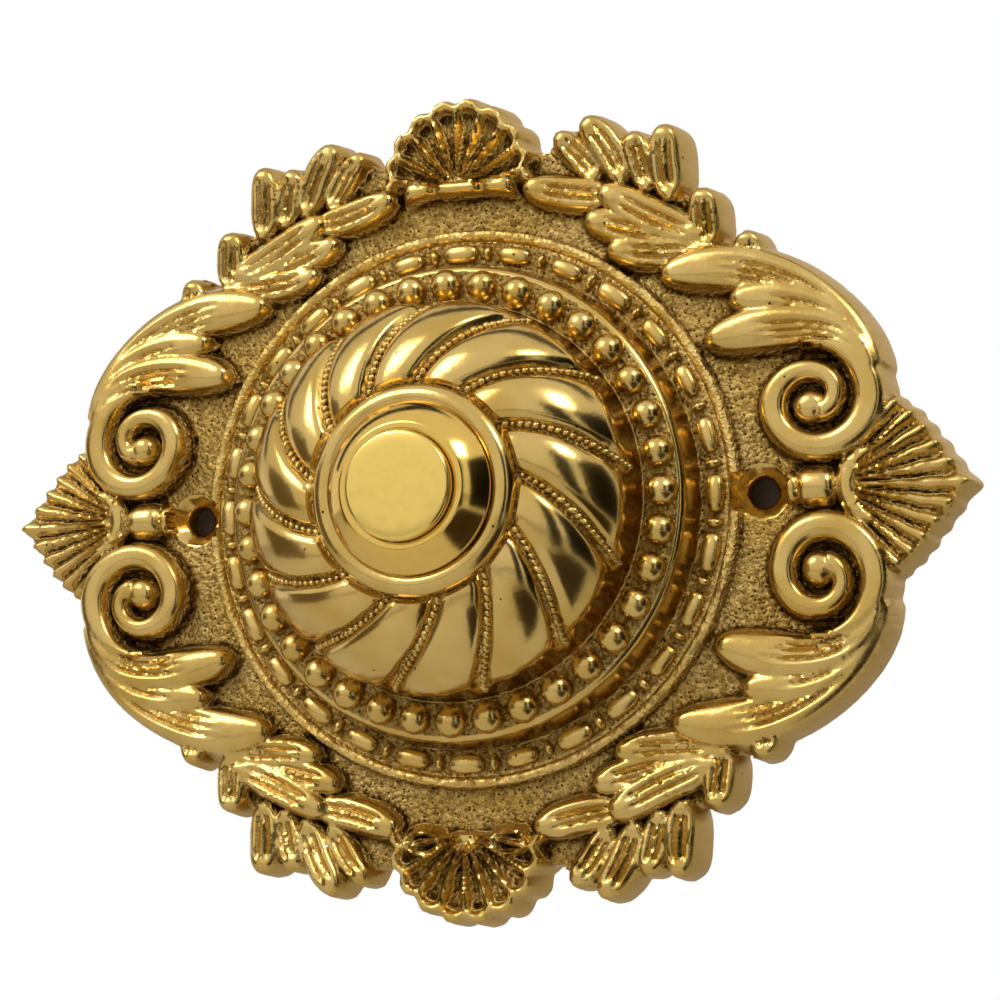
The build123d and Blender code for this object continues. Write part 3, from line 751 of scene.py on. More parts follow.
# %% [markdown]
# ## From heights to a net
# The front outside the rim is a net of triangles over a fine grid. The outline, the rim circle and the screw
# holes are kept as exact loops, which a subdivided plane would blur. Extra points follow the veins, so that
# they stay crisp.

# %% Net
def circle(centre, radius, count):
    """Points evenly round a circle."""
    turn = 2 * np.pi * np.arange(count) / count
    return np.column_stack((centre[0] + radius * np.cos(turn), centre[1] + radius * np.sin(turn)))


def net(loops, points, keep):
    """Triangles over loops and loose points; keep says which triangle centres belong."""
    corners, edges = [], []
    for loop in loops:
        start = len(corners)
        corners += [Vector(p) for p in loop]
        edges += [(start + k, start + (k + 1) % len(loop)) for k in range(len(loop))]
    corners += [Vector(p) for p in points]
    made = delaunay_2d_cdt(corners, edges, [], 0, 1e-5)
    flat = np.array([(p.x, p.y) for p in made[0]])
    faces = np.array(made[2])
    return flat, faces[keep(flat[faces].mean(axis=1))]


def on_plate(points, inner, loop):
    """Points inside a loop, outside an inner circle and outside the screw holes."""
    radius, edge = to_outline(points)
    within = radius < edge - 1
    close = np.abs(radius - edge) <= 1
    within[close] = inside(points[close], loop)
    return within & (radius > inner) & (from_hole(points) > HOLE_R * 0.995)


def vein_points():
    """Points along the bottom of every vein, and beside it on leaves, where the wave puts them."""
    lines = []
    for feature in FEATURES:
        heading = np.gradient(feature.axis, axis=0)
        heading /= np.linalg.norm(heading, axis=1)[:, None]
        across = np.column_stack((-heading[:, 1], heading[:, 0]))
        along = np.linspace(0, 1, len(feature.axis))
        kept = (along > 0.08) & (along < 0.92)
        sides = (-0.26, 0.0, 0.26) if feature.veins is LEAF_VEINS else (0.0,)
        for vein in feature.veins:
            for side in sides:
                lines.append((feature.axis + across * (vein * feature.half(along) + side)[:, None])[kept])
    quarter = np.vstack(lines)
    drawn = np.vstack([quarter * (sx, sy) for sx in (-1, 1) for sy in (-1, 1)])
    waved = drawn
    for _ in range(4):
        waved = drawn - wave(waved)
    return waved


veins = vein_points()
print("points on veins", len(veins))

# %% [markdown]
# ### The front, outside the rim
# The grid is made of equal triangles, which follow a curve more evenly than squares. Grid points give way to
# the vein points and to the edge of each countersink, so that no sliver of a triangle catches the light.

# %% Front net
RIM_R = 35.0
RIM_Z = 5.3
# points round the rim and every row of the boss
COLUMNS = 364
PITCH = 0.345
# the strip inside the outline that the grid leaves free, and the room that it leaves to a vein point
BEVEL = 0.3
VEIN_CELL = 0.3

rows = np.arange(-56, 56, PITCH * 0.866)
columns = np.arange(-66, 66, PITCH)
grid = np.array([(x + (k % 2) * PITCH / 2, y) for k, y in enumerate(rows) for x in columns])
grid = grid[np.abs(from_hole(grid) - SINK_R) > 0.15]
cells = np.floor(grid / VEIN_CELL).astype(int) @ (1, 4096)
vein_cells = np.floor(veins / VEIN_CELL).astype(int) @ (1, 4096)
grid = grid[~np.isin(cells, vein_cells)]
grid = np.vstack([grid, veins] + [circle((side * HOLE_X, 0), SINK_R, 72) for side in (-1, 1)])
radius, edge = to_outline(grid)
clear = (radius > RIM_R + 0.25) & (radius < edge - BEVEL) & (from_hole(grid) > HOLE_R + 0.15)
holes = [circle((side * HOLE_X, 0), HOLE_R, 40) for side in (-1, 1)]
front_xy, front_faces = net([outline, circle((0, 0), RIM_R, COLUMNS), *holes], grid[clear],
                            lambda p: on_plate(p, RIM_R, outline))
front_z = drafted(front_xy, plate_height(front_xy))
front_radius, front_edge = to_outline(front_xy)
front_z[front_radius > front_edge - 0.02] = FOOT_Z
on_rim = np.abs(front_radius - RIM_R) < 0.01
front_z[on_rim] = sunk(front_xy[on_rim], RIM_Z)
print("front net", len(front_xy), "points", len(front_faces), "triangles")

# %% [markdown]
# ### The boss
# The round middle of the casting is a turned form: rim, channel, bead step, dome and collar, hollow behind.
# It is drawn as one profile of radius and height, from the rim inwards and round to the back, with rows close
# enough for what will be carved in it.

# %% Profile of the boss
def arc(start, middle, end, steps):
    """Points on the circle through three points of the profile."""
    (ax, ay), (bx, by), (cx, cy) = start, middle, end
    a2, b2, c2 = ax**2 + ay**2, bx**2 + by**2, cx**2 + cy**2
    d = 2 * (ax * (by - cy) + bx * (cy - ay) + cx * (ay - by))
    ux = (a2 * (by - cy) + b2 * (cy - ay) + c2 * (ay - by)) / d
    uy = (a2 * (cx - bx) + b2 * (ax - cx) + c2 * (bx - ax)) / d
    first = math.atan2(ay - uy, ax - ux)
    last = math.atan2(cy - uy, cx - ux)
    last = first + (last - first + math.pi) % (2 * math.pi) - math.pi
    size = math.hypot(ax - ux, ay - uy)
    return [(ux + size * math.cos(a), uy + size * math.sin(a)) for a in np.linspace(first, last, steps)]


def straight(points, step):
    """A line through profile points, with rows about a step apart."""
    line = [points[0]]
    for (r0, z0), (r1, z1) in zip(points, points[1:]):
        count = max(1, round(math.hypot(r1 - r0, z1 - z0) / step))
        line += [(r0 + (r1 - r0) * k / count, z0 + (z1 - z0) * k / count) for k in range(1, count + 1)]
    return line


BACK_R = 21.5
rim = straight([(RIM_R, RIM_Z), (34.8, 5.45), (34.2, 5.45), (33.9, 5.2), (33.7, 4.8), (30.7, 4.75)], 0.6)
bead_step = straight([(30.45, 5.0), (29.5, 9.8), (29.1, 10.25), (28.6, 10.35), (25.0, 10.35)], 0.6)
cove = arc((24.75, 10.5), (24.35, 11.3), (24.25, 12.4), 5)
dome = arc((24.2, 12.6), (20.4, 19.7), (12.9, 22.5), 34)
lip = arc((12.75, 22.65), (11.75, 24.3), (10.3, 24.2), 9)
behind = [(10.3, 23.2), (9.05, 23.2), (9.05, 19.0), (13.8, 19.0), (21.3, 8.6), (BACK_R, 8.0), (BACK_R, 0.0)]
profile = np.array(rim + bead_step + cove + dome + lip + behind)
print("boss profile", len(profile), "rows")

# %% [markdown]
# ### Thirteen swirled lobes
# The lobes lean round the dome like the gadroons of a silver tureen. A lobe's side is close to a quarter of
# an ellipse, so it starts steeply out of its groove and is flat on its crest, where the light runs along it.
# The grooves lean by an equal angle for each millimetre outwards. Cutters could carve them, but moving each
# row of the profile square to the dome leaves no cut edges. The rim stays a little lumpy from the sand.

# %% Swirls
SWIRLS = 13
# where the first groove starts at the top of the dome, and how far it leans, in degrees
SWIRL_START = 90.0
SWEEP = 29.0
DOME_IN = 12.6
DOME_OUT = 24.3
LOBE_RISE = 1.25
# half a groove's share of a lobe's pitch, and its depth
GROOVE_SHARE = 0.085
GROOVE_DEPTH = 0.35


def swirl_angle(r):
    """Angle of the first groove at a radius of the dome, in radians."""
    return math.radians(SWIRL_START - SWEEP * (r - DOME_IN) / (DOME_OUT - DOME_IN))


first_dome = len(rim) + len(bead_step) + len(cove)
slope = np.gradient(np.array(dome), axis=0)
slope /= np.linalg.norm(slope, axis=1)[:, None]
turn = 2 * np.pi * np.arange(COLUMNS) / COLUMNS
boss_r = np.repeat(profile[:, :1], COLUMNS, axis=1)
boss_z = np.repeat(profile[:, 1:], COLUMNS, axis=1)
for k, (r, _) in enumerate(dome):
    out = (r - DOME_IN) / (DOME_OUT - DOME_IN)
    swirl = SWIRLS * (turn - swirl_angle(r)) / (2 * np.pi)
    from_groove = 0.5 - np.abs((swirl % 1)**0.8 - 0.5)
    share = np.clip((from_groove - GROOVE_SHARE) / (0.5 - GROOVE_SHARE), 0, 1)
    lobe = LOBE_RISE * np.sqrt(1 - (1 - share)**2.4) - GROOVE_DEPTH * (from_groove < GROOVE_SHARE)
    lobe = lobe * smooth(1 - out, 0.0, 0.14) * smooth(out, 0.0, 0.06)
    boss_r[first_dome + k] += lobe * slope[k, 1]
    boss_z[first_dome + k] += -lobe * slope[k, 0]
lumpy = slice(0, len(rim) + 2)
boss_z[lumpy] += 0.06 * np.sin(31 * turn + boss_r[lumpy] * 2 + 2 * np.sin(7 * turn))
boss_z[lumpy] += 0.05 * np.sin(47 * turn - boss_r[lumpy] * 3 + 3 * np.sin(5 * turn))
boss_z[0] = RIM_Z
boss = np.stack((boss_r * np.cos(turn), boss_r * np.sin(turn), boss_z), axis=2).reshape(-1, 3)
rim_points = boss[:len(rim) * COLUMNS]
rim_points[:, 2] = sunk(rim_points[:, :2], rim_points[:, 2])
print("boss", len(profile), "rows of", COLUMNS)

# %% [markdown]
# ### One skin
# A casting is one lump of metal, so its mesh is one closed skin. The front, the sides, the boss, the bores
# and the flat back are made apart and share the points of their common loops. Joining those points closes
# the skin, which no boolean would do as cleanly, and the count of open edges proves it.

# %% Skin
def strip(rows_of_loop, count):
    """Quads between rows of a closed loop, numbered row after row."""
    faces = []
    for low in range(0, (rows_of_loop - 1) * count, count):
        high = low + count
        faces += [(low + j, low + (j + 1) % count, high + (j + 1) % count, high + j) for j in range(count)]
    return faces


def stand_up(points):
    """Plate millimetres to the row frame's metres: z out of the wall becomes -Y."""
    points = np.asarray(points, float)
    return np.column_stack((points[:, 0], -points[:, 2], points[:, 1])) * MM


def skin(name, parts, body, slot_name, node, sharp):
    """One closed, smooth-shaded mesh piece from lists of points and faces."""
    points, faces = [], []
    for part_points, part_faces in parts:
        faces += [[len(points) + i for i in face] for face in part_faces]
        points += [tuple(p) for p in part_points]
    mesh = bpy.data.meshes.new(name)
    mesh.from_pydata([tuple(p) for p in stand_up(points)], [], faces)
    work = bmesh.new()
    work.from_mesh(mesh)
    bmesh.ops.remove_doubles(work, verts=work.verts, dist=0.002 * MM)
    bmesh.ops.delete(work, geom=[v for v in work.verts if not v.link_faces], context="VERTS")
    bmesh.ops.recalc_face_normals(work, faces=work.faces)
    open_edges = sum(1 for e in work.edges if not e.is_manifold)
    work.to_mesh(mesh)
    work.free()
    mesh.shade_smooth()
    mesh.set_sharp_from_angle(angle=math.radians(sharp))
    mesh.materials.append(FINISH[slot_name])
    piece = bpy.data.objects.new(name, mesh)
    bpy.context.scene.collection.objects.link(piece)
    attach(piece, body)
    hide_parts(node)
    print(name, len(mesh.polygons), "faces,", open_edges, "open edges")
    return piece


def at_height(loop, z):
    """A flat loop, lifted to a height."""
    return np.column_stack((loop, np.full(len(loop), z)))


CHAMFER = 0.25
back_line = outline * (1 - CHAMFER / outline_r[:, None])
back_xy, back_faces = net([back_line, circle((0, 0), BACK_R, COLUMNS), *holes], [],
                          lambda p: on_plate(p, BACK_R, back_line))
sides = np.vstack((at_height(outline, FOOT_Z), at_height(outline, CHAMFER), at_height(back_line, 0.0)))
parts = [
    (np.column_stack((front_xy, front_z)), front_faces.tolist()),
    (sides, strip(3, RAYS)),
    (boss, strip(len(profile), COLUMNS)),
    (at_height(back_xy, 0.0), back_faces[:, ::-1].tolist()),
]
for loop in holes:
    bore = np.vstack((at_height(loop, SINK_Z - (SINK_R - HOLE_R)), at_height(loop, 0.0)))
    parts.append((bore, strip(2, len(loop))))
casting = skin("front_plate_casting", parts, "plate", "cast_brass", "front_plate", sharp=48)

# %% [markdown]
# ### Where the buffing wheel never reached, and where shade falls
# The attribute `hollow` compares each point's height with the average height round it. Points that lie low
# among their neighbours hold the brown, and so do the open ground, the channel and the bead step. The brown
# is tarnish, and also painted shade in those recesses. Baked occlusion would give something like it, but
# slowly, and only as a picture. `wall` marks the sides.

# %% Points and their neighbours
point_count = len(casting.data.vertices)
place = np.empty(point_count * 3)
casting.data.vertices.foreach_get("co", place)
place = place.reshape(-1, 3) / MM
normals = np.empty(point_count * 3)
casting.data.vertices.foreach_get("normal", normals)
out_of_wall = -normals.reshape(-1, 3)[:, 1]
pairs = np.empty(len(casting.data.edges) * 2, int)
casting.data.edges.foreach_get("vertices", pairs)
one, other = pairs.reshape(-1, 2).T
links = np.bincount(pairs, minlength=point_count)


def spread(values, rounds):
    """Averages a value over neighbouring points, some rounds long."""
    for _ in range(rounds):
        total = np.bincount(one, values[other], point_count) + np.bincount(other, values[one], point_count)
        values = 0.5 * values + 0.5 * total / links
    return values


print("each point has", links.mean().round(2), "neighbours")

# %% [markdown]
# ### How brown each place is
# A few levels, each with the place that it belongs to, are laid over the measured hollows. On the low ground,
# in the channel and on the bead step, between the raised shapes, they paint shade as well as tarnish. The
# countersinks were cut after the buffing, so they are bright. The back was never buffed at all.

# %% Hollow and wall
# the share of the deepest brown in a shallow hollow, what each millimetre more adds, and the hollow's depth
SHALLOW_BROWN = 0.08
BROWN_A_MM = 2.0
SHALLOW = 0.05
# the share that each of these places has at least
GROUND_BROWN = 0.53
FIELD_BROWN = 0.2
RIM_BROWN = 0.4
CHANNEL_BROWN = 0.64
STEP_BROWN = 0.6
# the share that each of these places has, however deep it lies
BACK_BROWN = 0.45
SIDE_BROWN = 0.15
SINK_BROWN = 0.05
# the radii between which the channel and the bead step lie
CHANNEL_FROM = 30.5
CHANNEL_TO = 33.6
BEADS_FROM = 24.6
BEADS_TO = 29.0

flat = place[:, [0, 2]]
height = -place[:, 1]
from_axis = np.hypot(*flat.T)
below = spread(height, 10) - height
low_ground = (1 - smooth(height, GROUND + 0.1, GROUND + 1.3)) * (height > 0.5) * (from_axis > RIM_R)
on_rim_ring = (from_axis > RIM_R - 1.6) & (from_axis < RIM_R + 0.6)
in_channel = (from_axis > CHANNEL_FROM) & (from_axis < CHANNEL_TO) & (height < 5.6)
hollow = np.clip(SHALLOW_BROWN + BROWN_A_MM * (below - SHALLOW), 0, 1)
for brown, where in ((GROUND_BROWN, low_ground), (FIELD_BROWN, from_axis > RIM_R),
                     (RIM_BROWN, on_rim_ring), (CHANNEL_BROWN, in_channel)):
    hollow = np.maximum(hollow, brown * where)
hollow = spread(hollow, 1)
hollow[from_hole(flat) < SINK_R - 0.1] = SINK_BROWN
sloping = (np.abs(out_of_wall) < 0.75) & (edge_distance(flat) < 1.1)
side_wall = spread(sloping.astype(float), 1) * (height > 0.1)
hollow = np.where(side_wall > 0.5, SIDE_BROWN, hollow)
at_back = (height < 0.3) | ((from_axis < BACK_R + 0.1) & (out_of_wall < -0.05))
hollow = np.where(at_back, BACK_BROWN, hollow)
on_bead_step = (from_axis > BEADS_FROM) & (from_axis < BEADS_TO) & (height < 10.8)
hollow = np.maximum(hollow, STEP_BROWN * on_bead_step)
for name, values in (("hollow", hollow), ("wall", side_wall)):
    attribute = casting.data.attributes.new(name, "FLOAT", "POINT")
    attribute.data.foreach_set("value", values.astype(np.float32))
print("hollow", hollow.min().round(2), hollow.mean().round(2), hollow.max().round(2))

# %% [markdown]
# ## Beads, olives and cords
# What repeats round the boss is instanced by Geometry Nodes: a small shape, a path and a count. A loop could
# copy meshes, but the trees here have named inputs, so a count or a size can be changed in the modifier while
# learning. A modifier knows an input by its socket's identifier, which is looked up from the name. Each tree
# ends in real geometry with its material, which is kept as a plain mesh.

# %% Geometry Nodes helpers
WHOLE = "NodeSocketInt"
NUMBER = "NodeSocketFloat"


def new_tree(name, sockets):
    """A node group with a geometry input and output, named inputs and a material input."""
    tree = bpy.data.node_groups.new(name, "GeometryNodeTree")
    tree.interface.new_socket("Geometry", in_out="INPUT", socket_type="NodeSocketGeometry")
    for label, kind in sockets.items():
        tree.interface.new_socket(label, in_out="INPUT", socket_type=kind)
    tree.interface.new_socket("Material", in_out="INPUT", socket_type="NodeSocketMaterial")
    tree.interface.new_socket("Geometry", in_out="OUTPUT", socket_type="NodeSocketGeometry")
    return tree, add(tree, "NodeGroupInput").node.outputs


def closing(tree, geometry, material):
    """Ends a tree: real geometry, with its material."""
    real = add(tree, "GeometryNodeRealizeInstances", {"Geometry": geometry})
    painted = add(tree, "GeometryNodeSetMaterial", {"Geometry": real, "Material": material})
    add(tree, "NodeGroupOutput", {"Geometry": painted})


def grow(name, tree, values, body, slot_name, points=(), edges=(), node=None):
    """Runs a tree on a small starting mesh and keeps the result as a plain mesh piece."""
    seed = bpy.data.meshes.new(name + "_path")
    seed.from_pydata([tuple(p) for p in points], edges, [])
    piece = bpy.data.objects.new(name, seed)
    bpy.context.scene.collection.objects.link(piece)
    modifier = piece.modifiers.new("grow", "NODES")
    modifier.node_group = tree
    values = values | {"Material": FINISH[slot_name]}
    for item in tree.interface.items_tree:
        if item.in_out == "INPUT" and item.name in values:
            modifier[item.identifier] = values[item.name]
    evaluated = piece.evaluated_get(bpy.context.evaluated_depsgraph_get())
    mesh = bpy.data.meshes.new_from_object(evaluated)
    piece.modifiers.clear()
    piece.data = mesh
    mesh.shade_smooth()
    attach(piece, body)
    if node:
        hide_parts(node)
    print(name, len(mesh.polygons), "faces")
    return piece


print("a tree's sizes come in by", NUMBER, "and its counts by", WHOLE)

# %% [markdown]
# ### Shapes on a path
# Beads, olives, reels and the beaded cords are all rounded shapes that follow each other along a path. So one
# tree makes them: a ball, squared off or stretched, leaned over, and set on points of the path at slightly
# different sizes, as a worn pattern would cast them.

# %% Path tree
def string_tree():
    """Strings one rounded shape after another along every path, each lying along the path."""
    tree, inputs = new_tree("shapes_on_a_path", {
        "Count": WHOLE, "Half Width": NUMBER, "Half Length": NUMBER, "Squareness": NUMBER, "Lean": NUMBER,
        "Smallest": NUMBER, "Segments": WHOLE, "Hollow": NUMBER})
    path = add(tree, "GeometryNodeMeshToCurve", {"Mesh": inputs["Geometry"]})
    spots = add(tree, "GeometryNodeCurveToPoints", {"Curve": path, "Count": inputs["Count"]}, mode="COUNT")
    ball = add(tree, "GeometryNodeMeshUVSphere",
               {"Segments": inputs["Segments"], "Rings": inputs["Segments"], "Radius": 1.0})
    at = add(tree, "GeometryNodeInputPosition")
    size = add(tree, "ShaderNodeVectorMath", {0: at}, operation="ABSOLUTE")
    sign = add(tree, "ShaderNodeVectorMath", {0: at}, operation="SIGN")
    full = add(tree, "ShaderNodeVectorMath", {0: size, 1: inputs["Squareness"]}, operation="POWER")
    full = add(tree, "ShaderNodeVectorMath", {0: full, 1: sign}, operation="MULTIPLY")
    shape = add(tree, "GeometryNodeSetPosition", {"Geometry": ball, "Position": full})
    shape = add(tree, "GeometryNodeStoreNamedAttribute",
                {"Geometry": shape, "Name": "hollow", "Value": inputs["Hollow"]},
                data_type="FLOAT", domain="POINT")
    sizes = add(tree, "ShaderNodeCombineXYZ",
                {"X": inputs["Half Width"], "Y": inputs["Half Width"], "Z": inputs["Half Length"]})
    lean = add(tree, "ShaderNodeCombineXYZ", {"Y": inputs["Lean"]})
    shape = add(tree, "GeometryNodeTransform", {"Geometry": shape, "Scale": sizes})
    shape = add(tree, "GeometryNodeTransform", {"Geometry": shape, "Rotation": lean})
    # a Random Value node takes its float range at inputs 2 and 3, and gives the number at output 1
    chance = add(tree, "FunctionNodeRandomValue", {2: inputs["Smallest"], 3: 1.0, "Seed": 7}, 1,
                 data_type="FLOAT")
    turned = spots.node.outputs["Rotation"]
    placed = add(tree, "GeometryNodeInstanceOnPoints",
                 {"Points": spots, "Instance": shape, "Rotation": turned, "Scale": chance})
    closing(tree, placed, inputs["Material"])
    return tree


STRING = string_tree()
print("path tree", len(STRING.nodes), "nodes")

# %% [markdown]
# ### Three rings round the boss
# The beads sit on the step, and the olives and reels take turns in the channel. A ring's path has the same
# number of points for each shape, so that the shapes fall evenly. The olives are a little squared off, and
# all of them are sunk into the casting, because they were cast in one with it.

# %% Rings
BEADS = 36
OLIVES = 28
OLIVE_R = 32.15
OLIVE_Z = 4.85


def ring_path(radius, z, count, start=0.0):
    """A closed path of points on a circle of the plate, as mesh points and edges."""
    turn = np.radians(start) + 2 * np.pi * np.arange(count) / count
    points = np.column_stack((radius * np.cos(turn), radius * np.sin(turn), np.full(count, z)))
    return stand_up(points), [(k, (k + 1) % count) for k in range(count)]


def strung(name, count, width, length, path, hollow, squareness=1.0, lean=0.0, smallest=0.94, segments=16):
    """Shapes of one size in millimetres on a path, cast in one with the plate."""
    values = {"Count": count, "Half Width": width / 2 * MM, "Half Length": length / 2 * MM,
              "Squareness": squareness, "Lean": lean, "Smallest": smallest, "Segments": segments,
              "Hollow": hollow}
    grow(name, STRING, values, "plate", "cast_brass", *path)


olive_path = ring_path(OLIVE_R, OLIVE_Z, 12 * OLIVES)
reel_path = ring_path(OLIVE_R, OLIVE_Z, 12 * OLIVES, 180 / OLIVES)
# the number after each path is that ring's share of the brown: tarnish, and painted shade where it sits low
# in the casting
strung("bead_ring", BEADS, 4.2, 4.1, ring_path(26.9, 10.6, 4 * BEADS), 0.22, segments=18)
strung("olive_ring", OLIVES, 2.5, 4.9, olive_path, 0.28, squareness=0.75, smallest=0.86)
strung("reel_ring", OLIVES, 2.3, 1.3, reel_path, 0.3, smallest=0.8, segments=12)

# %% [markdown]
# ### Cords in the grooves
# A fine twisted cord lies in each of the thirteen grooves. A real twist would take far more triangles than
# it shows, so each cord is a row of small beads that lean over and differ in size.

# %% Cords
CORD_DEPTH = 0.15
cord_points, cord_edges = [], []
for k in range(SWIRLS):
    start = len(cord_points)
    for (r, z), (tr, tz) in zip(dome[2:-1], slope[2:-1]):
        a = swirl_angle(r) + 2 * math.pi * k / SWIRLS
        cord_r = r - CORD_DEPTH * tz
        cord_points.append((cord_r * math.cos(a), cord_r * math.sin(a), z + CORD_DEPTH * tr))
    cord_edges += [(j, j + 1) for j in range(start, len(cord_points) - 1)]
cord_path = (stand_up(cord_points), cord_edges)
# the cords take more of the brown, as tarnish and as painted shade in their grooves
strung("groove_cords", 20, 1.05, 1.5, cord_path, 0.35, lean=0.7, smallest=0.6, segments=8)

# %% [markdown]
# ## The turned bezel and the button
# Both are lathe work, so both are a profile swept round the axis, as a Screw modifier would do. The corners
# get a small radius, because a polished part never has a razor edge, and that radius is what catches the
# light.

# %% Lathe
def lathe(profile_points, count=192):
    """A closed turned solid: points and faces of a profile swept round the plate's axis."""
    rows_up = [circle((0, 0), r, count) for r, _ in profile_points]
    points = np.vstack([at_height(row, z) for row, (_, z) in zip(rows_up, profile_points)])
    return points, strip(len(profile_points), count)


bezel_edge = straight([(10.2, 23.8), (10.2, 24.75), (10.15, 24.9), (10.05, 25.02)], 0.3)
bezel_cone = arc((9.95, 25.12), (8.98, 26.2), (7.7, 27.2), 9)
bezel_face = [(7.6, 27.26), (7.45, 27.3), (6.74, 27.3), (6.63, 27.26), (6.58, 27.15)]
barrel = [(6.58, 25.1), (7.9, 25.1), (7.9, 8.6), (8.4, 8.6), (8.4, 7.6), (7.9, 7.6), (7.9, 7.0), (8.9, 7.0),
          (8.9, 23.8), (10.2, 23.8)]
bezel = lathe(bezel_edge + bezel_cone + bezel_face + barrel)
skin("bezel_turning", [bezel], "plate", "turned_brass", "bezel_body", sharp=30)
button_face = [(0, 28.8), (2.0, 28.79), (4.5, 28.76), (6.0, 28.7), (6.2, 28.66), (6.35, 28.58), (6.45, 28.45),
               (6.5, 28.3)]
button_back = [(6.5, 25.05), (7.8, 25.05), (7.8, 22.65), (6.65, 22.65), (6.65, 24.05), (2.8, 24.05),
               (2.8, 22.65), (1.6, 22.65), (1.6, 25.25), (0, 25.25)]
button = lathe(button_face + button_back)
skin("button_turning", [button], "button", "polished_button_brass", "push_button", sharp=30)

# %% [markdown]
# ## The return spring
# A spring is wire wound on a rod, so it is a circle carried along a helix: one curve for the path, one for
# the wire, joined by Curve to Mesh. Pressing the button shortens it towards the end that stands on the
# insulating base.

# %% Spring
WIRE = 0.7 * MM
COIL_R = 6.2 * MM


def spring_tree():
    """Round wire wound along a helix about the button's axis."""
    tree, inputs = new_tree("coil_spring", {
        "Turns": NUMBER, "Radius": NUMBER, "Height": NUMBER, "Wire": NUMBER, "Base": NUMBER})
    helix = add(tree, "GeometryNodeCurveSpiral",
                {"Resolution": 48, "Rotations": inputs["Turns"], "Start Radius": inputs["Radius"],
                 "End Radius": inputs["Radius"], "Height": inputs["Height"]})
    ring = add(tree, "GeometryNodeCurvePrimitiveCircle", {"Resolution": 16, "Radius": inputs["Wire"]})
    coil = add(tree, "GeometryNodeCurveToMesh", {"Curve": helix, "Profile Curve": ring, "Fill Caps": True})
    shift = add(tree, "ShaderNodeCombineXYZ", {"Y": inputs["Base"]})
    stood = add(tree, "GeometryNodeTransform",
                {"Geometry": coil, "Translation": shift, "Rotation": (math.pi / 2, 0, 0)})
    closing(tree, stood, inputs["Material"])
    return tree


spring_low, spring_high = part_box("return_spring")
spring = grow("coil_spring", spring_tree(), {
    "Turns": 4.0, "Radius": COIL_R, "Height": spring_high.y - spring_low.y - WIRE, "Wire": WIRE / 2,
    "Base": spring_high.y - WIRE / 2}, "plate", "spring_steel", node="return_spring")
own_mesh(spring)

# %% [markdown]
# ## Studio
# The plate is seen from a little to its right and below, as when it is held up to look at, from a little more
# than a quarter of a metre away. The camera's place and lens are plain numbers, and its turn comes from where
# it looks and which way is up.

# %% Camera
LENS = 77.65
SENSOR = 36.0
CAMERA_PLACE = Vector((89.84, -258.10, -30.74)) * MM
LOOKS_ALONG = Vector((-0.3166, 0.9414, 0.1162)).normalized()
UPRIGHT = Vector((0.0498, -0.1058, 0.9931))
right = LOOKS_ALONG.cross(UPRIGHT).normalized()
up = right.cross(LOOKS_ALONG)

scene = bpy.context.scene
camera = bpy.data.objects.new("camera", bpy.data.cameras.new("camera"))
scene.collection.objects.link(camera)
camera.data.lens = LENS
camera.data.sensor_width = SENSOR
turned = Matrix((right, up, -LOOKS_ALONG)).transposed().to_4x4()
camera.matrix_world = Matrix.Translation(CAMERA_PLACE) @ turned
scene.camera = camera
print("camera", round(CAMERA_PLACE.length / MM), "mm from the plate's middle")

# %% [markdown]
# ### Lamps and cards
# Polished metal shows its surroundings, so a studio sets cards round it. Dark ones at the right and in front
# give the brass its deep reflections, and a dark sheet on the floor below the right is painted shade that the
# brass reflects. Two narrow bars overhead draw streaks on the swirls, and a tan one at the left warms the
# sides. A pale floor lights the lower edges. The camera sees none of these. It does see the small dark card
# at the bottom of each screw hole, which is painted shade and stands for the shaded wall behind the plate.

# %% Lamps and cards
def area_light(name, place, aim, size, power):
    """A square lamp that shines from a place to an aim."""
    data = bpy.data.lights.new(name, "AREA")
    data.shape = "SQUARE"
    data.size = size
    data.energy = power
    lamp = bpy.data.objects.new(name, data)
    lamp.location = place
    lamp.rotation_euler = (Vector(aim) - Vector(place)).to_track_quat("-Z", "Y").to_euler()
    scene.collection.objects.link(lamp)
    return lamp


def panel(name, place, aim, width, height, colour, seen=False, one_sided=False):
    """A flat card, which the camera may or may not see, and which may show its front only."""
    mesh = bpy.data.meshes.new(name)
    w = width / 2
    h = height / 2
    mesh.from_pydata([(-w, -h, 0), (w, -h, 0), (w, h, 0), (-w, h, 0)], [], [(0, 1, 2, 3)])
    card = bpy.data.objects.new(name, mesh)
    card.location = place
    card.rotation_euler = (Vector(aim) - Vector(place)).to_track_quat("Z", "Y").to_euler()
    card.visible_camera = seen
    material, tree = new_material(name + "_paint")
    paint = add(tree, "ShaderNodeBsdfDiffuse", {"Color": linear(colour)})
    if one_sided:
        from_behind = add(tree, "ShaderNodeNewGeometry", output="Backfacing")
        clear = add(tree, "ShaderNodeBsdfTransparent")
        paint = add(tree, "ShaderNodeMixShader", {0: from_behind, 1: paint, 2: clear})
    add(tree, "ShaderNodeOutputMaterial", {"Surface": paint})
    mesh.materials.append(material)
    scene.collection.objects.link(card)
    return card


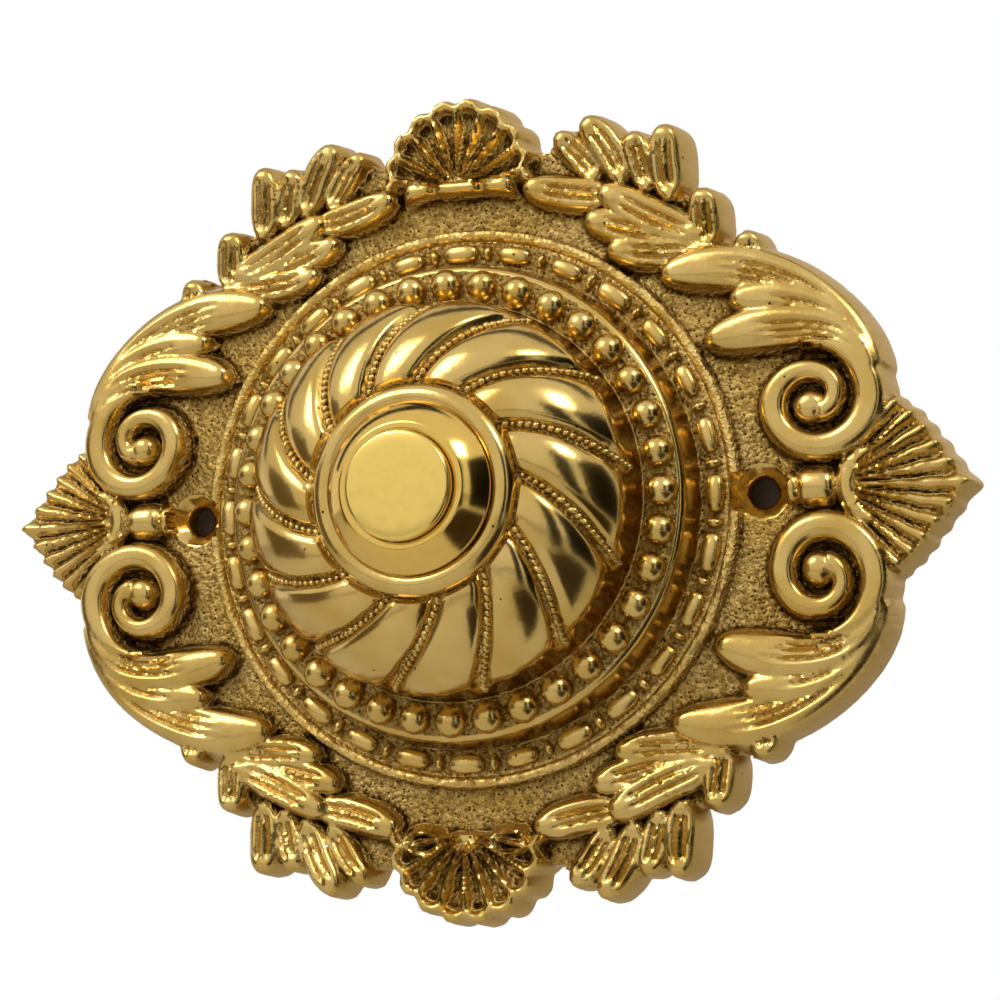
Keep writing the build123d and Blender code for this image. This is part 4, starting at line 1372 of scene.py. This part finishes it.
MIDDLE = (0, 0, 0)
BLACK_CARD = "#1A1612"
BROWN_CARD = "#2A231C"
HOLE_SHADE_GAP = 0.3 * MM
HOLE_SHADE_SIZE = 4.2 * MM
lamps = [
    area_light("key", (-0.5, -0.75, 0.7), MIDDLE, 0.5, 5.0),
    area_light("upper_right", (0.55, -0.45, 0.6), MIDDLE, 0.22, 2.5),
]
cards = [
    panel("dark_right", (0.53, -0.125, 0.02), (0, -0.125, 0), 0.47, 0.62, BLACK_CARD),
    panel("dark_right_front", (0.353, -0.485, 0.02), MIDDLE, 0.2, 0.62, BLACK_CARD),
    panel("dark_bar_right", (0.14, 0.1, 0.58), (0.05, 0.1, 0), 0.13, 0.8, BROWN_CARD),
    panel("dark_bar_left", (-0.46, 0.1, 0.5), (0, 0.1, 0), 0.13, 0.8, BROWN_CARD),
    panel("tan_left", (-0.60, -0.30, -0.05), (0, -0.1, 0), 0.5, 0.5, "#8E7E62"),
    # painted shade: a dark sheet on the floor below the right, which the brass reflects
    panel("floor_shade_right", (0.24, -0.20, -0.155), (0.24, -0.20, 0), 0.3, 0.32, "#43382C"),
    panel("dark_front", (-0.1, -1.2, -0.45), MIDDLE, 1.6, 0.7, "#1A1816"),
    panel("floor", (0, 0, -0.16), (0, 0, 1), 4.0, 4.0, "#F4F2EE"),
]
# painted shade: a dark card in each screw hole stands for the shaded wall seen through it
for name, x in (("hole_shade_left", -HOLE_X * MM), ("hole_shade_right", HOLE_X * MM)):
    cards.append(panel(name, (x, -HOLE_SHADE_GAP, 0), (x, -1, 0), HOLE_SHADE_SIZE, HOLE_SHADE_SIZE, "#4A3F38", True, True))
print("lamps", len(lamps), "cards", len(cards))

# %% [markdown]
# ### White room
# The picture has a white ground, so the world is white to the camera and in the brass. A room that lit the
# plate so strongly would wash out its shade, so it lights dull surfaces at half that strength.

# %% White room
WHITE = (1, 1, 1, 1)
world = bpy.data.worlds.new("white_room")
world.use_nodes = True
tree = world.node_tree
tree.nodes.clear()
rays = add(tree, "ShaderNodeLightPath").node.outputs
seen = add(tree, "ShaderNodeMath",
           {0: rays["Is Camera Ray"], 1: rays["Is Transmission Ray"]}, operation="ADD")
seen = add(tree, "ShaderNodeMath", {0: seen, 1: rays["Is Glossy Ray"]}, operation="ADD", use_clamp=True)
lighting = add(tree, "ShaderNodeBackground", {"Color": WHITE, "Strength": 0.5})
showing = add(tree, "ShaderNodeBackground", {"Color": WHITE, "Strength": 1.0})
both = add(tree, "ShaderNodeMixShader", {0: seen, 1: lighting, 2: showing})
add(tree, "ShaderNodeOutputWorld", {"Surface": both})
scene.world = world
scene.view_settings.view_transform = "Standard"
print("world", world.name)
